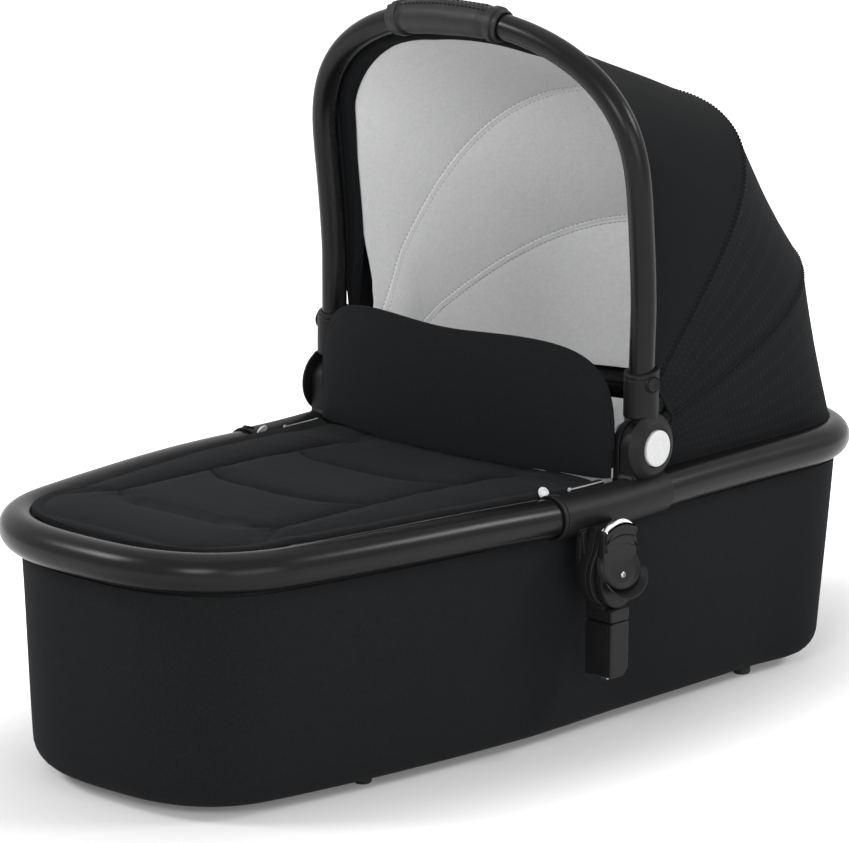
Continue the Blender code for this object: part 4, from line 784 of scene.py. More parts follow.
class Paint:
    """A material with short calls for the nodes that its surface needs."""

    def __init__(self, name, colour, roughness, metallic=0.0):
        self.material = bpy.data.materials.new("look_" + name)
        self.material.use_nodes = True
        self.material.diffuse_color = (*colour, 1)
        self.tree = self.material.node_tree
        self.shader = self.tree.nodes["Principled BSDF"]
        self.shader.inputs["Base Color"].default_value = (*colour, 1)
        self.shader.inputs["Roughness"].default_value = roughness
        self.shader.inputs["Metallic"].default_value = metallic
        self.colour = colour
        self.roughness = roughness
        self.height = None

    def node(self, kind, settings=(), values=(), links=()):
        made = self.tree.nodes.new(kind)
        for key, value in settings:
            setattr(made, key, value)
        for key, value in values:
            made.inputs[key].default_value = value
        for key, source in links:
            self.tree.links.new(source, made.inputs[key])
        return made

    def sum_of(self, first, second, operation="ADD"):
        """A Math node on two sockets or plain numbers."""
        made = self.node("ShaderNodeMath", [("operation", operation)])
        for index, value in enumerate((first, second)):
            if isinstance(value, (int, float)):
                made.inputs[index].default_value = value
            else:
                self.tree.links.new(value, made.inputs[index])
        return made.outputs[0]

    def coordinates(self, output="Object"):
        return self.node("ShaderNodeTexCoord").outputs[output]

    def grain(self, scale, detail=2.0, output="Object", roughness=0.5, stretch=(1, 1, 1)):
        """Noise at a scale per metre."""
        turned = self.node(
            "ShaderNodeMapping", values=[("Scale", stretch)], links=[("Vector", self.coordinates(output))]
        )
        made = self.node(
            "ShaderNodeTexNoise",
            values=[("Scale", scale), ("Detail", detail), ("Roughness", roughness)],
            links=[("Vector", turned.outputs[0])],
        )
        return made.outputs[0]

    def raise_by(self, source, amount):
        """Adds a height, in metres for a full step of the source, to the surface's relief."""
        step = self.sum_of(source, amount, "MULTIPLY")
        self.height = step if self.height is None else self.sum_of(self.height, step)

    def weave(self, pitch, amount):
        """Crossing threads at a pitch in metres, along the cloth's own plan."""
        parts = self.node("ShaderNodeSeparateXYZ", links=[("Vector", self.coordinates("UV"))])
        waves = []
        for axis in ("X", "Y"):
            turn = self.sum_of(parts.outputs[axis], math.pi / pitch, "MULTIPLY")
            waves.append(self.sum_of(turn, 0, "SINE"))
        self.raise_by(self.sum_of(waves[0], waves[1], "MULTIPLY"), amount)

    def spread_colour(self, source, low_share, high_share, start=0.35, end=0.65):
        """Darker and lighter places of the base colour, led by a source from 0 to 1."""
        ramp = self.node("ShaderNodeValToRGB", links=[("Fac", source)])
        for element, place, share in zip(ramp.color_ramp.elements, (start, end), (low_share, high_share)):
            element.position = place
            element.color = (*[min(value * share, 1) for value in self.colour], 1)
        self.tree.links.new(ramp.outputs[0], self.shader.inputs["Base Color"])
        return ramp

    def spread_roughness(self, source, low, high):
        made = self.node(
            "ShaderNodeMapRange", values=[("To Min", low), ("To Max", high)], links=[("Value", source)]
        )
        self.tree.links.new(made.outputs[0], self.shader.inputs["Roughness"])

    def finish(self, strength=1.0, **sockets):
        """Joins the relief to the shader and sets its plain sockets."""
        if self.height is not None:
            bump = self.node(
                "ShaderNodeBump",
                values=[("Strength", strength), ("Distance", 1.0)],
                links=[("Height", self.height)],
            )
            self.tree.links.new(bump.outputs[0], self.shader.inputs["Normal"])
        for key, value in sockets.items():
            self.shader.inputs[key.replace("_", " ")].default_value = value
        return self.material


def painted_metal():
    paint = Paint("satin_black", (0.0062, 0.0062, 0.0064), 0.32)
    paint.raise_by(paint.grain(900, 3), 0.00003)
    wear = paint.grain(24, 5)
    paint.spread_roughness(wear, 0.23, 0.30)
    paint.spread_colour(wear, 0.92, 1.10)
    return paint.finish(Specular_IOR_Level=0.15)


def moulded_plastic():
    paint = Paint("moulded_black", (0.0080, 0.0080, 0.0084), 0.46)
    paint.raise_by(paint.grain(1500, 2), 0.00006)
    patches = paint.grain(40, 4)
    paint.spread_roughness(patches, 0.42, 0.52)
    paint.spread_colour(patches, 0.90, 1.12)
    return paint.finish(Specular_IOR_Level=0.14)


def plain_cloth():
    paint = Paint("black_cloth", (0.0096, 0.0103, 0.0114), 0.88)
    paint.weave(0.0009, 0.00007)
    paint.raise_by(paint.grain(1400, 2), 0.00005)
    paint.raise_by(paint.grain(26, 3), 0.0004)
    paint.spread_colour(paint.grain(500, 3), 0.88, 1.12)
    return paint.finish(Sheen_Weight=0.012, Sheen_Roughness=0.5, Specular_IOR_Level=0.07)


def dotted_cloth():
    """Canopy cloth with small raised dots in a staggered pattern."""
    paint = Paint("canopy_cloth", (0.0082, 0.0088, 0.0096), 0.90)
    paint.weave(0.0009, 0.00006)
    parts = paint.node("ShaderNodeSeparateXYZ", links=[("Vector", paint.coordinates("UV"))])
    pitch = 0.0056
    across = paint.sum_of(parts.outputs["X"], math.pi / pitch, "MULTIPLY")
    along = paint.sum_of(parts.outputs["Y"], math.pi / pitch, "MULTIPLY")
    dots = paint.sum_of(
        paint.sum_of(across, 0, "SINE"), paint.sum_of(along, 0, "SINE"), "MULTIPLY"
    )
    spots = paint.node(
        "ShaderNodeMapRange",
        [("clamp", True)],
        [("From Min", 0.80), ("From Max", 0.93)],
        [("Value", paint.sum_of(dots, 0, "ABSOLUTE"))],
    ).outputs[0]
    paint.raise_by(spots, 0.00012)
    paint.raise_by(paint.grain(22, 3), 0.0005)
    paint.spread_colour(spots, 1.0, 1.6, 0.0, 1.0)
    return paint.finish(Sheen_Weight=0.012, Sheen_Roughness=0.5, Specular_IOR_Level=0.07)


def silver_cloth():
    paint = Paint("silver_cloth", (0.86, 0.861, 0.865), 0.60)
    paint.weave(0.0008, 0.00005)
    paint.raise_by(paint.grain(30, 3, stretch=(1, 0.4, 1)), 0.0010)
    paint.spread_colour(paint.grain(300, 2), 0.97, 1.03)
    return paint.finish(Sheen_Weight=0.15, Sheen_Roughness=0.4)


def grip_leather():
    paint = Paint("grip_leather", (0.0090, 0.0090, 0.0094), 0.42)
    cells = paint.node(
        "ShaderNodeTexVoronoi",
        [("feature", "DISTANCE_TO_EDGE")],
        [("Scale", 700.0)],
        [("Vector", paint.coordinates())],
    )
    paint.raise_by(cells.outputs["Distance"], 0.00022)
    paint.raise_by(paint.grain(60, 4), 0.0004)
    paint.spread_roughness(paint.grain(90, 3), 0.36, 0.50)
    paint.spread_colour(paint.grain(120, 3), 0.85, 1.2)
    return paint.finish(Specular_IOR_Level=0.24)


def white_button():
    paint = Paint("silver_paint", (0.64, 0.642, 0.645), 0.42)
    fine = paint.grain(420, 4)
    paint.raise_by(fine, 0.00010)
    paint.spread_colour(fine, 0.93, 1.03)
    return paint.finish(Coat_Weight=0.2, Coat_Roughness=0.3)


def bright_metal(name, colour, roughness, stretch):
    paint = Paint(name, colour, roughness, 1.0)
    brushed = paint.grain(220, 3, stretch=stretch)
    paint.raise_by(brushed, 0.00002)
    paint.spread_roughness(brushed, roughness * 0.85, roughness * 1.25)
    return paint.finish()


def plain_matter(name, colour, roughness, scale, relief):
    paint = Paint(name, colour, roughness)
    source = paint.grain(scale, 4)
    paint.raise_by(source, relief)
    paint.spread_colour(source, 0.85, 1.12)
    return paint.finish()


def thread_matter(name, colour, roughness, low_share, high_share, **sockets):
    paint = Paint(name, colour, roughness)
    paint.raise_by(paint.grain(2500, 2), 0.00008)
    paint.spread_colour(paint.grain(700, 2), low_share, high_share)
    return paint.finish(**sockets)


LOOKS = {
    "satin_black": painted_metal(),
    "moulded_black": moulded_plastic(),
    "black_cloth": plain_cloth(),
    "canopy_cloth": dotted_cloth(),
    "silver_cloth": silver_cloth(),
    "grip_leather": grip_leather(),
    "silver_paint": white_button(),
    "chrome": bright_metal("chrome", (0.80, 0.81, 0.83), 0.16, (1, 1, 1)),
    "steel": bright_metal("steel", (0.30, 0.31, 0.33), 0.32, (1, 8, 1)),
    "board": plain_matter("board", (0.26, 0.19, 0.12), 0.80, 90, 0.0004),
    "foam": plain_matter("foam", (0.60, 0.60, 0.58), 0.95, 500, 0.0006),
    "rubber": plain_matter("rubber", (0.012, 0.012, 0.013), 0.80, 800, 0.00015),
}
THREAD = thread_matter("thread", (0.0080, 0.0086, 0.0095), 0.85, 0.8, 1.2, Specular_IOR_Level=0.06)
PALE_THREAD = thread_matter("pale_thread", (0.42, 0.425, 0.43), 0.7, 0.85, 1.1, Sheen_Weight=0.2)


def piece(name, mesh, slot, body="", nodes=(), material=None):
    """Puts a mesh in the scene as a named piece with its finish, its body and the nodes it stands for."""
    made = bpy.data.objects.new(name, mesh)
    bpy.context.scene.collection.objects.link(made)
    mesh.materials.clear()
    mesh.materials.append(material or LOOKS[slot])
    if body:
        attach(made, body)
    if nodes:
        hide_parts(*nodes)
    return made


# Plan of the rim


def corner_width_share(length_share, power):
    """Width share of a rounded corner at a share of its length from the tip."""
    return (1 - (1 - max(length_share, 0)) ** power) ** (1 / power)


def half_width(x):
    """Half width of the rim tube's centreline at x."""
    width = RIM_HALF_WIDTH
    if x < RIM_TAPER_START:
        width -= RIM_TAPER * ((RIM_TAPER_START - x) / (RIM_TAPER_START - FOOT_END)) ** 2
    foot_share = (x - FOOT_END) / FOOT_CORNER_LENGTH
    head_share = (HEAD_END - x) / HEAD_CORNER_LENGTH
    if foot_share < 1:
        width *= corner_width_share(foot_share, FOOT_CORNER_POWER)
    if head_share < 1:
        width *= corner_width_share(head_share, HEAD_CORNER_POWER)
    return width


def dip(x):
    """How far the rim hangs lower near the hinges."""
    return RIM_DIP * ridge(x - RIM_DIP_X, RIM_DIP_REACH)


def corner_shares(power, steps=CORNER_STEPS):
    """Shares of a corner's length at even turns, from the tip, without its straight end."""
    return [1 - math.cos(math.pi / 2 * step / steps) ** (2 / power) for step in range(steps)]


def plan_stations():
    """X of the plan's points, from the foot tip to the head tip."""
    foot = [FOOT_END + FOOT_CORNER_LENGTH * share for share in corner_shares(FOOT_CORNER_POWER)]
    head = [HEAD_END - HEAD_CORNER_LENGTH * share for share in corner_shares(HEAD_CORNER_POWER)]
    side = spaced(FOOT_END + FOOT_CORNER_LENGTH, HEAD_END - HEAD_CORNER_LENGTH, SIDE_STEPS)
    return foot + side + head[::-1]


def plan_normal(x):
    """Outward direction of the right side's plan at x."""
    step = RIM_TUBE_RADIUS / 10
    slope = (half_width(x + step) - half_width(x - step)) / (2 * step)
    return Vector((-slope, -1, 0)).normalized()


def plan_places():
    """Points of the rim's centreline with their outward directions, once round."""
    stations = plan_stations()
    outline = [Vector((x, -half_width(x), 0)) for x in stations]
    outline += [Vector((x, half_width(x), 0)) for x in stations[1:-1]][::-1]
    places = []
    for index, point in enumerate(outline):
        along = (outline[(index + 1) % len(outline)] - outline[index - 1]).normalized()
        places.append((point, Vector((along.y, -along.x, 0))))
    return places


PLAN = plan_places()


def plan_ring(inset, height, change=None):
    """The plan moved inwards, at a height; change gives a further move outwards at each point."""
    ring = []
    for point, outward in PLAN:
        reach = -inset + (change(point, height) if change else 0)
        ring.append(Vector((point.x, point.y, height)) + outward * reach)
    return ring


# Rim tubes and sleeves


def rim_run(end_x, towards_foot):
    stations = plan_stations()
    if towards_foot:
        stations = [x for x in stations if x < end_x - RIM_TUBE_RADIUS / 2][::-1]
    else:
        stations = [x for x in stations if x > end_x + RIM_TUBE_RADIUS / 2]
    stations = [end_x] + stations
    right = [Vector((x, -half_width(x), RIM_HEIGHT - dip(x))) for x in stations]
    left = [Vector((point.x, -point.y, point.z)) for point in right[:-1]]
    return right + left[::-1]


def dress_rim():
    up = Vector((0, 0, 1))
    for name, node, end_x, towards_foot in (
        ("rim_bar_foot", "rim_foot_tube", SLEEVE_START + SLEEVE_SOCKET_DEPTH - GAP, True),
        ("rim_bar_head", "rim_head_tube", SLEEVE_END - SLEEVE_SOCKET_DEPTH + GAP, False),
    ):
        mesh = cord_mesh(name, rim_run(end_x, towards_foot), RIM_TUBE_RADIUS, up, TUBE_SIDES)
        piece(name, mesh, "satin_black", "tub", [node])


def dress_housing(side, label):
    """Sleeve with its end bead, the hinge's pedestal and the fixed disc with a parting groove."""
    bore = RIM_TUBE_RADIUS + GAP
    bead_end = SLEEVE_START + BEAD_WIDTH
    corners = [
        (SLEEVE_START + BEAD_WIDTH, bore),
        (SLEEVE_START, bore),
        (SLEEVE_START, BEAD_RADIUS),
        (bead_end, BEAD_RADIUS),
        (bead_end, SLEEVE_RADIUS - BEAD_GROOVE_DEPTH),
        (bead_end + BEAD_WIDTH / 3, SLEEVE_RADIUS - BEAD_GROOVE_DEPTH),
        (bead_end + BEAD_WIDTH / 3, SLEEVE_RADIUS),
    ]
    stations = spaced(bead_end + 3 * BEAD_WIDTH, SLEEVE_END - BEAD_WIDTH, LEG_STEPS)
    corners += [(x, SLEEVE_RADIUS) for x in stations]
    corners += [(SLEEVE_END, SLEEVE_RADIUS), (SLEEVE_END, bore), (SLEEVE_END - BEAD_WIDTH, bore)]
    rings = []
    for x, radius in rounded(corners, HOUSING_EDGE):
        outward = plan_normal(x)
        across = Vector((outward.x, -side * outward.y, 0))
        middle = Vector((x, side * half_width(x), RIM_HEIGHT - dip(x)))
        rings.append(round_ring(middle, Vector((0, 0, 1)), across, radius, ROUND_SIDES))
    sleeve = ring_mesh("sleeve", rings, joined=True)
    meshes = [sleeve]
    sill = RIM_HEIGHT
    crest = RIM_HEIGHT - dip(HINGE_X) + SLEEVE_RADIUS
    post = arc_points(HINGE_X, HINGE_HEIGHT, HINGE_BASE_RADIUS, 0, 180, ROUND_SIDES // 2)
    post += [Vector((HINGE_X - PEDESTAL_HALF_WIDTH, sill)), Vector((HINGE_X + PEDESTAL_HALF_WIDTH, sill))]
    edge = HOUSING_EDGE
    slit = SLIT_HALF_WIDTH
    layers = soft_layers(HINGE_BASE_INNER, HINGE_SLIT - slit, edge)[:-1]
    layers += [(3 * edge, HINGE_SLIT - slit), (3 * edge, HINGE_SLIT + slit)]
    layers += soft_layers(HINGE_SLIT + slit, HINGE_BASE_OUTER, edge)[1:]
    meshes.append(pressed_mesh("post", post, layers, side))
    flare = [
        (HINGE_X - PEDESTAL_HALF_WIDTH - FLARE_OVERHANG, crest - FLARE_OVERHANG),
        (HINGE_X + PEDESTAL_HALF_WIDTH + FLARE_OVERHANG, crest - FLARE_OVERHANG),
        (HINGE_X + PEDESTAL_HALF_WIDTH - FLARE_SETBACK, crest + FLARE_RISE, FLARE_OVERHANG),
        (HINGE_X - PEDESTAL_HALF_WIDTH + FLARE_SETBACK, crest + FLARE_RISE, FLARE_OVERHANG),
    ]
    flare = rounded(flare, FLARE_ROUNDING, closed=True)
    meshes.append(block_mesh("flare", flare, HINGE_BASE_INNER + edge, HINGE_BASE_OUTER - edge, edge, side))
    ledge = RIM_HEIGHT - dip(SLEEVE_START) + SLEEVE_RADIUS
    tab = rounded(
        [
            (SLEEVE_START, ledge - TAB_SINK),
            (SLEEVE_START + TAB_LENGTH, ledge - TAB_SINK),
            (SLEEVE_START + TAB_LENGTH, ledge + TAB_RISES[0]),
            (SLEEVE_START + TAB_CREST_LENGTH, ledge + TAB_RISES[1]),
            (SLEEVE_START, ledge + TAB_RISES[2]),
        ],
        TAB_ROUNDING,
        closed=True,
    )
    tab_middle = half_width(SLEEVE_START)
    tab_inner = tab_middle - TAB_HALF_WIDTH
    meshes.append(block_mesh("tab", tab, tab_inner, tab_middle + TAB_HALF_WIDTH, MOULD_EDGE, side))
    mesh = join_meshes("hinge_base", meshes)
    piece("hinge_base_" + label, mesh, "moulded_black", "tub", ["hinge_housing_" + label])


def dress_cap(side, label):
    """Outer hinge disc with its sloping flank, the collar, the neck between them and the boss."""
    inner = HINGE_BASE_OUTER + GAP
    pocket = HINGE_BUTTON_RADIUS + POCKET_GAP
    floor = inner + POCKET_FLOOR
    disc_corners = [
        (CAP_RADIUS / 4, inner),
        (CAP_RADIUS - MOULD_EDGE, inner),
        (CAP_RADIUS, inner + MOULD_EDGE, MOULD_EDGE),
        (CAP_RADIUS - CAP_RIM_TAPER, inner + CAP_RIM_HEIGHT, 0.002),
        (CAP_FACE_RADIUS + CAP_FLANK_WIDTH, CAP_OUTER - CAP_FLANK_DROP, 0.005),
        (CAP_FACE_RADIUS, CAP_OUTER, 0.003),
        (pocket + CAP_LIP_WIDTH, CAP_OUTER, MOULD_EDGE),
        (pocket, CAP_OUTER - MOULD_EDGE, 0.0005),
        (pocket, floor),
        (CAP_RADIUS / 6, floor),
    ]
    centre = (HINGE_X, 0, HINGE_HEIGHT)
    axis = (0, side, 0)
    meshes = [turned_mesh("disc", centre, axis, rounded(disc_corners, MOULD_EDGE))]
    leg = side * HANDLE_FOOT_HALF_WIDTH
    bore = HANDLE_TUBE_RADIUS + HANDLE_BORE_GAP
    rise = COLLAR_TOP - HINGE_HEIGHT
    foot = COLLAR_FOOT - HINGE_HEIGHT
    collar_corners = [
        (COLLAR_RADIUS * 0.5, foot),
        (COLLAR_RADIUS - COLLAR_CHAMFER, foot, 0.001),
        (COLLAR_RADIUS, foot + COLLAR_CHAMFER_HEIGHT, COLLAR_CHAMFER),
        (COLLAR_RADIUS, rise - COLLAR_GROOVE_DROPS[0], COLLAR_GROOVE_DEPTH),
        (COLLAR_RADIUS - COLLAR_GROOVE_DEPTH, rise - COLLAR_GROOVE_DROPS[1], 0.0004),
        (COLLAR_RADIUS, rise - COLLAR_GROOVE_DROPS[2], COLLAR_GROOVE_DEPTH),
        (COLLAR_RADIUS, rise - MOULD_EDGE, 0.001),
        (COLLAR_RADIUS - COLLAR_LIP_WIDTH, rise, MOULD_EDGE),
        (bore, rise, 0.0006),
        (bore, rise - COLLAR_BORE_DEPTH),
    ]
    collar_profile = finer(rounded(collar_corners, 0.001), COLLAR_STEP)
    collar_foot = (HINGE_X, leg, HINGE_HEIGHT)
    collar = turned_mesh("collar", collar_foot, (0, 0, 1), collar_profile, 2 * ROUND_SIDES)
    boss_centre = Vector((HINGE_X, leg, COLLAR_TOP - COLLAR_BUTTON_DROP))
    boss_axis = Vector((-math.sin(COLLAR_BUTTON_TURN), side * math.cos(COLLAR_BUTTON_TURN), 0))
    seat = COLLAR_RADIUS - COLLAR_BUTTON_SEAT
    for vertex in collar.vertices:
        tilt_share = smooth_share(vertex.co.z, COLLAR_FOOT + TILT_CLEAR_FOOT, COLLAR_TOP - TILT_CLEAR_TOP)
        vertex.co.z += COLLAR_TILT * (vertex.co.x - HINGE_X) * tilt_share
        out = (vertex.co - boss_centre).dot(boss_axis)
        beside = (vertex.co - boss_centre - boss_axis * out).length
        if beside < COLLAR_BOSS_RADIUS - COLLAR_STEP and out > seat:
            vertex.co -= boss_axis * (out - seat)
    meshes.append(collar)
    neck_low = HINGE_HEIGHT + pocket + CAP_LIP_WIDTH
    neck = [
        (HINGE_X - COLLAR_RADIUS * NECK_LOW_SHARE, neck_low),
        (HINGE_X + COLLAR_RADIUS * NECK_LOW_SHARE, neck_low),
        (HINGE_X + COLLAR_RADIUS * NECK_HIGH_SHARE, COLLAR_FOOT + NECK_OVERLAP, 0.006),
        (HINGE_X - COLLAR_RADIUS * NECK_HIGH_SHARE, COLLAR_FOOT + NECK_OVERLAP, 0.006),
    ]
    neck_face = HANDLE_FOOT_HALF_WIDTH + COLLAR_RADIUS - MOULD_EDGE
    neck = rounded(neck, NECK_ROUNDING, closed=True)
    meshes.append(block_mesh("neck", neck, inner + 0.0002, neck_face, NECK_EDGE, side))
    boss_face = COLLAR_RADIUS + BOSS_PROUD
    small_pocket = COLLAR_BUTTON_RADIUS + POCKET_GAP
    boss_corners = [
        (COLLAR_BOSS_RADIUS, boss_face - BOSS_DEPTH),
        (COLLAR_BOSS_RADIUS, boss_face, 0.0012),
        (small_pocket, boss_face, 0.0005),
        (small_pocket, seat),
        (small_pocket / 3, seat),
    ]
    meshes.append(turned_mesh("boss", boss_centre, boss_axis, rounded(boss_corners, 0.0006)))
    mesh = join_meshes("hinge_cover", meshes)
    piece("hinge_cover_" + label, mesh, "moulded_black", "handle", ["hinge_cap_" + label])
    face = CAP_OUTER + HINGE_BUTTON_PROUD
    button_corners = [
        (HINGE_BUTTON_RADIUS, face - HINGE_BUTTON_DEPTH),
        (HINGE_BUTTON_RADIUS, face - 0.0010, 0.0010),
        (HINGE_BUTTON_RADIUS - BUTTON_DOME_WIDTH, face - BUTTON_DOME_DROP, 0.002),
        (HINGE_BUTTON_RADIUS / 2, face, 0.004),
        (HINGE_BUTTON_RADIUS / 8, face + BUTTON_DOME_RISE),
    ]
    mesh = turned_mesh("button", centre, axis, rounded(button_corners, MOULD_EDGE))
    name = "hinge_button_" + label
    piece("hinge_push_" + label, mesh, "silver_paint", name, [name])
    small_face = boss_face + SMALL_BUTTON_PROUD
    small_corners = [
        (COLLAR_BUTTON_RADIUS, small_face - SMALL_BUTTON_DEPTH),
        (COLLAR_BUTTON_RADIUS, small_face, MOULD_EDGE),
    ]
    for share, drop in SMALL_BUTTON_DISHES:
        small_corners.append((COLLAR_BUTTON_RADIUS * share, small_face - drop, 0.0005))
    mesh = turned_mesh("button", boss_centre, boss_axis, rounded(small_corners, 0.0006))
    name = "collar_button_" + label
    piece("collar_push_" + label, mesh, "moulded_black", name, [name])


# Handle


def handle_lean(height):
    share = (height - COLLAR_TOP) / (HANDLE_TOP - COLLAR_TOP)
    bent_share = max(share - HANDLE_LEAN_START_SHARE, 0) / (1 - HANDLE_LEAN_START_SHARE)
    return HANDLE_LEAN * bent_share ** HANDLE_LEAN_POWER


def hoop_half(foot_height, top_drop=0):
    """Right half of the hoop's centreline, leg first."""
    points = []
    for height in spaced(foot_height, HANDLE_SHOULDER, LEG_STEPS)[:-1]:
        share = max(height - COLLAR_TOP, 0) / (HANDLE_SHOULDER - COLLAR_TOP)
        wide = HANDLE_FOOT_HALF_WIDTH + (HANDLE_HALF_WIDTH - HANDLE_FOOT_HALF_WIDTH) * share
        points.append(Vector((HINGE_X - handle_lean(height), -wide, height)))
    rise = HANDLE_TOP - HANDLE_SHOULDER - top_drop
    for step in range(ARCH_STEPS + 1):
        turn = math.pi / 2 * step / ARCH_STEPS
        height = HANDLE_SHOULDER + rise * math.sin(turn) ** (2 / HANDLE_TOP_POWER)
        wide = HANDLE_HALF_WIDTH * max(math.cos(turn), 0) ** (2 / HANDLE_SIDE_POWER)
        points.append(Vector((HINGE_X - handle_lean(height), -wide, height)))
    points[-1].y = 0
    return points


def both_sides(half):
    left = [Vector((point.x, -point.y, point.z)) for point in half[:-1]]
    return half + left[::-1]


def hoop_point(y):
    """Point of the hoop's top at a place across it."""
    half_share = min(abs(y) / HANDLE_HALF_WIDTH, 1)
    turn = math.acos(half_share ** (HANDLE_SIDE_POWER / 2))
    height = HANDLE_SHOULDER + (HANDLE_TOP - HANDLE_SHOULDER) * math.sin(turn) ** (2 / HANDLE_TOP_POWER)
    return Vector((HINGE_X - handle_lean(height), y, height))


def dress_handle():
    across = Vector((1, 0, 0))
    path = both_sides(hoop_half(HINGE_HEIGHT + 0.0343))
    mesh = cord_mesh("hoop", path, HANDLE_TUBE_RADIUS, across, TUBE_SIDES)
    piece("handle_hoop", mesh, "satin_black", "handle", ["handle_tube"])
    dress_grip(across)


def grip_profile():
    """Radius of the leather along the grip: rolled ends, two raised bands and a padded middle."""
    low = GRIP_OFFSET - GRIP_HALF_LENGTH
    high = GRIP_OFFSET + GRIP_HALF_LENGTH
    band = GRIP_RADIUS + GRIP_BAND_RISE
    flat = GRIP_RADIUS - GRIP_BAND_RISE
    end = GRIP_BAND_WIDTH
    bore = HANDLE_TUBE_RADIUS + GAP
    corners = [(low + GRIP_BORE_LENGTH, bore), (low, bore)]
    for count, level, bend in GRIP_LOW_SECTION:
        corners.append((low + end * count, (flat, band, GRIP_RADIUS)[level], bend))
    corners.append((GRIP_OFFSET, GRIP_RADIUS + GRIP_CROWN, GRIP_CROWN_BEND))
    for count, level, bend in GRIP_HIGH_SECTION:
        corners.append((high - end * count, (flat, band, GRIP_RADIUS)[level], bend))
    corners += [(high, bore), (high - GRIP_BORE_LENGTH, bore)]
    return rounded(corners, GRIP_ROUNDING)


def grip_directions(y, across):
    """Two directions square to the grip at a place across the hoop."""
    step = GRIP_BAND_WIDTH / 8
    along = (hoop_point(y + step) - hoop_point(y - step)).normalized()
    return directions_across(along, across)


def dress_grip(across):
    """Padded leather sleeve, with its sewn seam underneath."""
    places = grip_profile()
    path = [hoop_point(y) for y, radius in places]
    along_scale, round_scale = GRIP_CRUMPLE_SCALES
    rings = []
    for (y, radius), point in zip(places, path):
        first, second = grip_directions(y, across)
        ring = []
        for number in range(TUBE_SIDES):
            turn = 2 * math.pi * number / TUBE_SIDES
            seam = 0
            if radius > HANDLE_TUBE_RADIUS + 2 * GAP:
                seam = ridge(turn - GRIP_SEAM_TURN, GRIP_SEAM_WIDTH)
            place = Vector((y * along_scale, math.cos(turn) * round_scale, math.sin(turn) * round_scale))
            crumple = noise.noise(place) * GRIP_CRUMPLE
            puff = crumple * smooth_share(radius, HANDLE_TUBE_RADIUS + GAP, GRIP_RADIUS - GRIP_BAND_RISE)
            reach = radius + GRIP_SEAM_RISE * seam + puff
            ring.append(point + first * reach * math.cos(turn) + second * reach * math.sin(turn))
        rings.append(ring)
    mesh = ring_mesh("grip", rings, joined=True)
    leather = piece("grip_sleeve", mesh, "grip_leather", "handle", ["handle_grip"])
    paths = []
    low = GRIP_OFFSET - GRIP_HALF_LENGTH + GRIP_STITCH_BANDS[0] * GRIP_BAND_WIDTH
    high = GRIP_OFFSET + GRIP_HALF_LENGTH - GRIP_STITCH_BANDS[1] * GRIP_BAND_WIDTH
    for turn in GRIP_STITCH_TURNS:
        line = []
        for y in spaced(low, high, TUBE_SIDES):
            first, second = grip_directions(y, across)
            way = first * math.cos(turn) + second * math.sin(turn)
            line.append((hoop_point(y) + way * (GRIP_RADIUS + GRIP_STITCH_RISE), way))
        paths.append(line)
    mesh, spread = stitch_mesh("grip_stitches", paths)
    piece("grip_stitches", mesh, "grip_leather", "handle", material=THREAD)


# Canopy


def inward_in_plane(points, across):
    return [direction_along(points, index).cross(across).normalized() for index in range(len(points))]


def rib_section(angle, reach, shoulder, power, wide):
    """Outline of the cloth over a rib, with its inward directions."""
    outward = Vector((math.sin(angle), 0, math.cos(angle)))
    half = []
    for rise in spaced(CLOTH_START, shoulder, LEG_STEPS)[:-1]:
        share = (rise - CLOTH_START) / (shoulder - CLOTH_START)
        across = CLOTH_FOOT_HALF_WIDTH + (wide - CLOTH_FOOT_HALF_WIDTH) * share
        half.append(CANOPY_FOCUS + outward * rise + Vector((0, -across, 0)))
    for step in range(ARCH_STEPS + 1):
        turn = math.pi / 2 * step / ARCH_STEPS
        rise = shoulder + (reach - shoulder) * math.sin(turn) ** (2 / power)
        across = wide * max(math.cos(turn), 0) ** (2 / power)
        half.append(CANOPY_FOCUS + outward * rise + Vector((0, -across, 0)))
    half[-1].y = 0
    points = both_sides(half)
    square = Vector((math.cos(angle), 0, -math.sin(angle)))
    return points, inward_in_plane(points, square)


def front_section():
    """Outline of the cloth's front edge, close behind the handle."""
    near_tube = HANDLE_TUBE_RADIUS + 0.0005
    near_collar = COLLAR_RADIUS + 0.0005
    near_grip = GRIP_RADIUS + GRIP_BAND_RISE + 0.0005
    grip_end = GRIP_OFFSET + GRIP_HALF_LENGTH + GRIP_RADIUS
    half = []
    for point in hoop_half(FRONT_CLOTH_FOOT, FRONT_CLOTH_DROP):
        low_share = smooth_share(point.z, COLLAR_TOP + COLLAR_RADIUS * 1.6, COLLAR_TOP + COLLAR_RADIUS * 0.4)
        narrow = min(abs(point.y), CLOTH_FOOT_HALF_WIDTH + FRONT_CLOTH_DROP)
        top_share = smooth_share(abs(point.y), grip_end + 0.012, grip_end - 0.006)
        behind = near_tube + (near_collar - near_tube) * low_share + (near_grip - near_tube) * top_share
        half.append(Vector((point.x + behind, -narrow, point.z)))
    half[-1].y = 0
    points = both_sides(half)
    return points, inward_in_plane(points, Vector((1, 0, 0)))


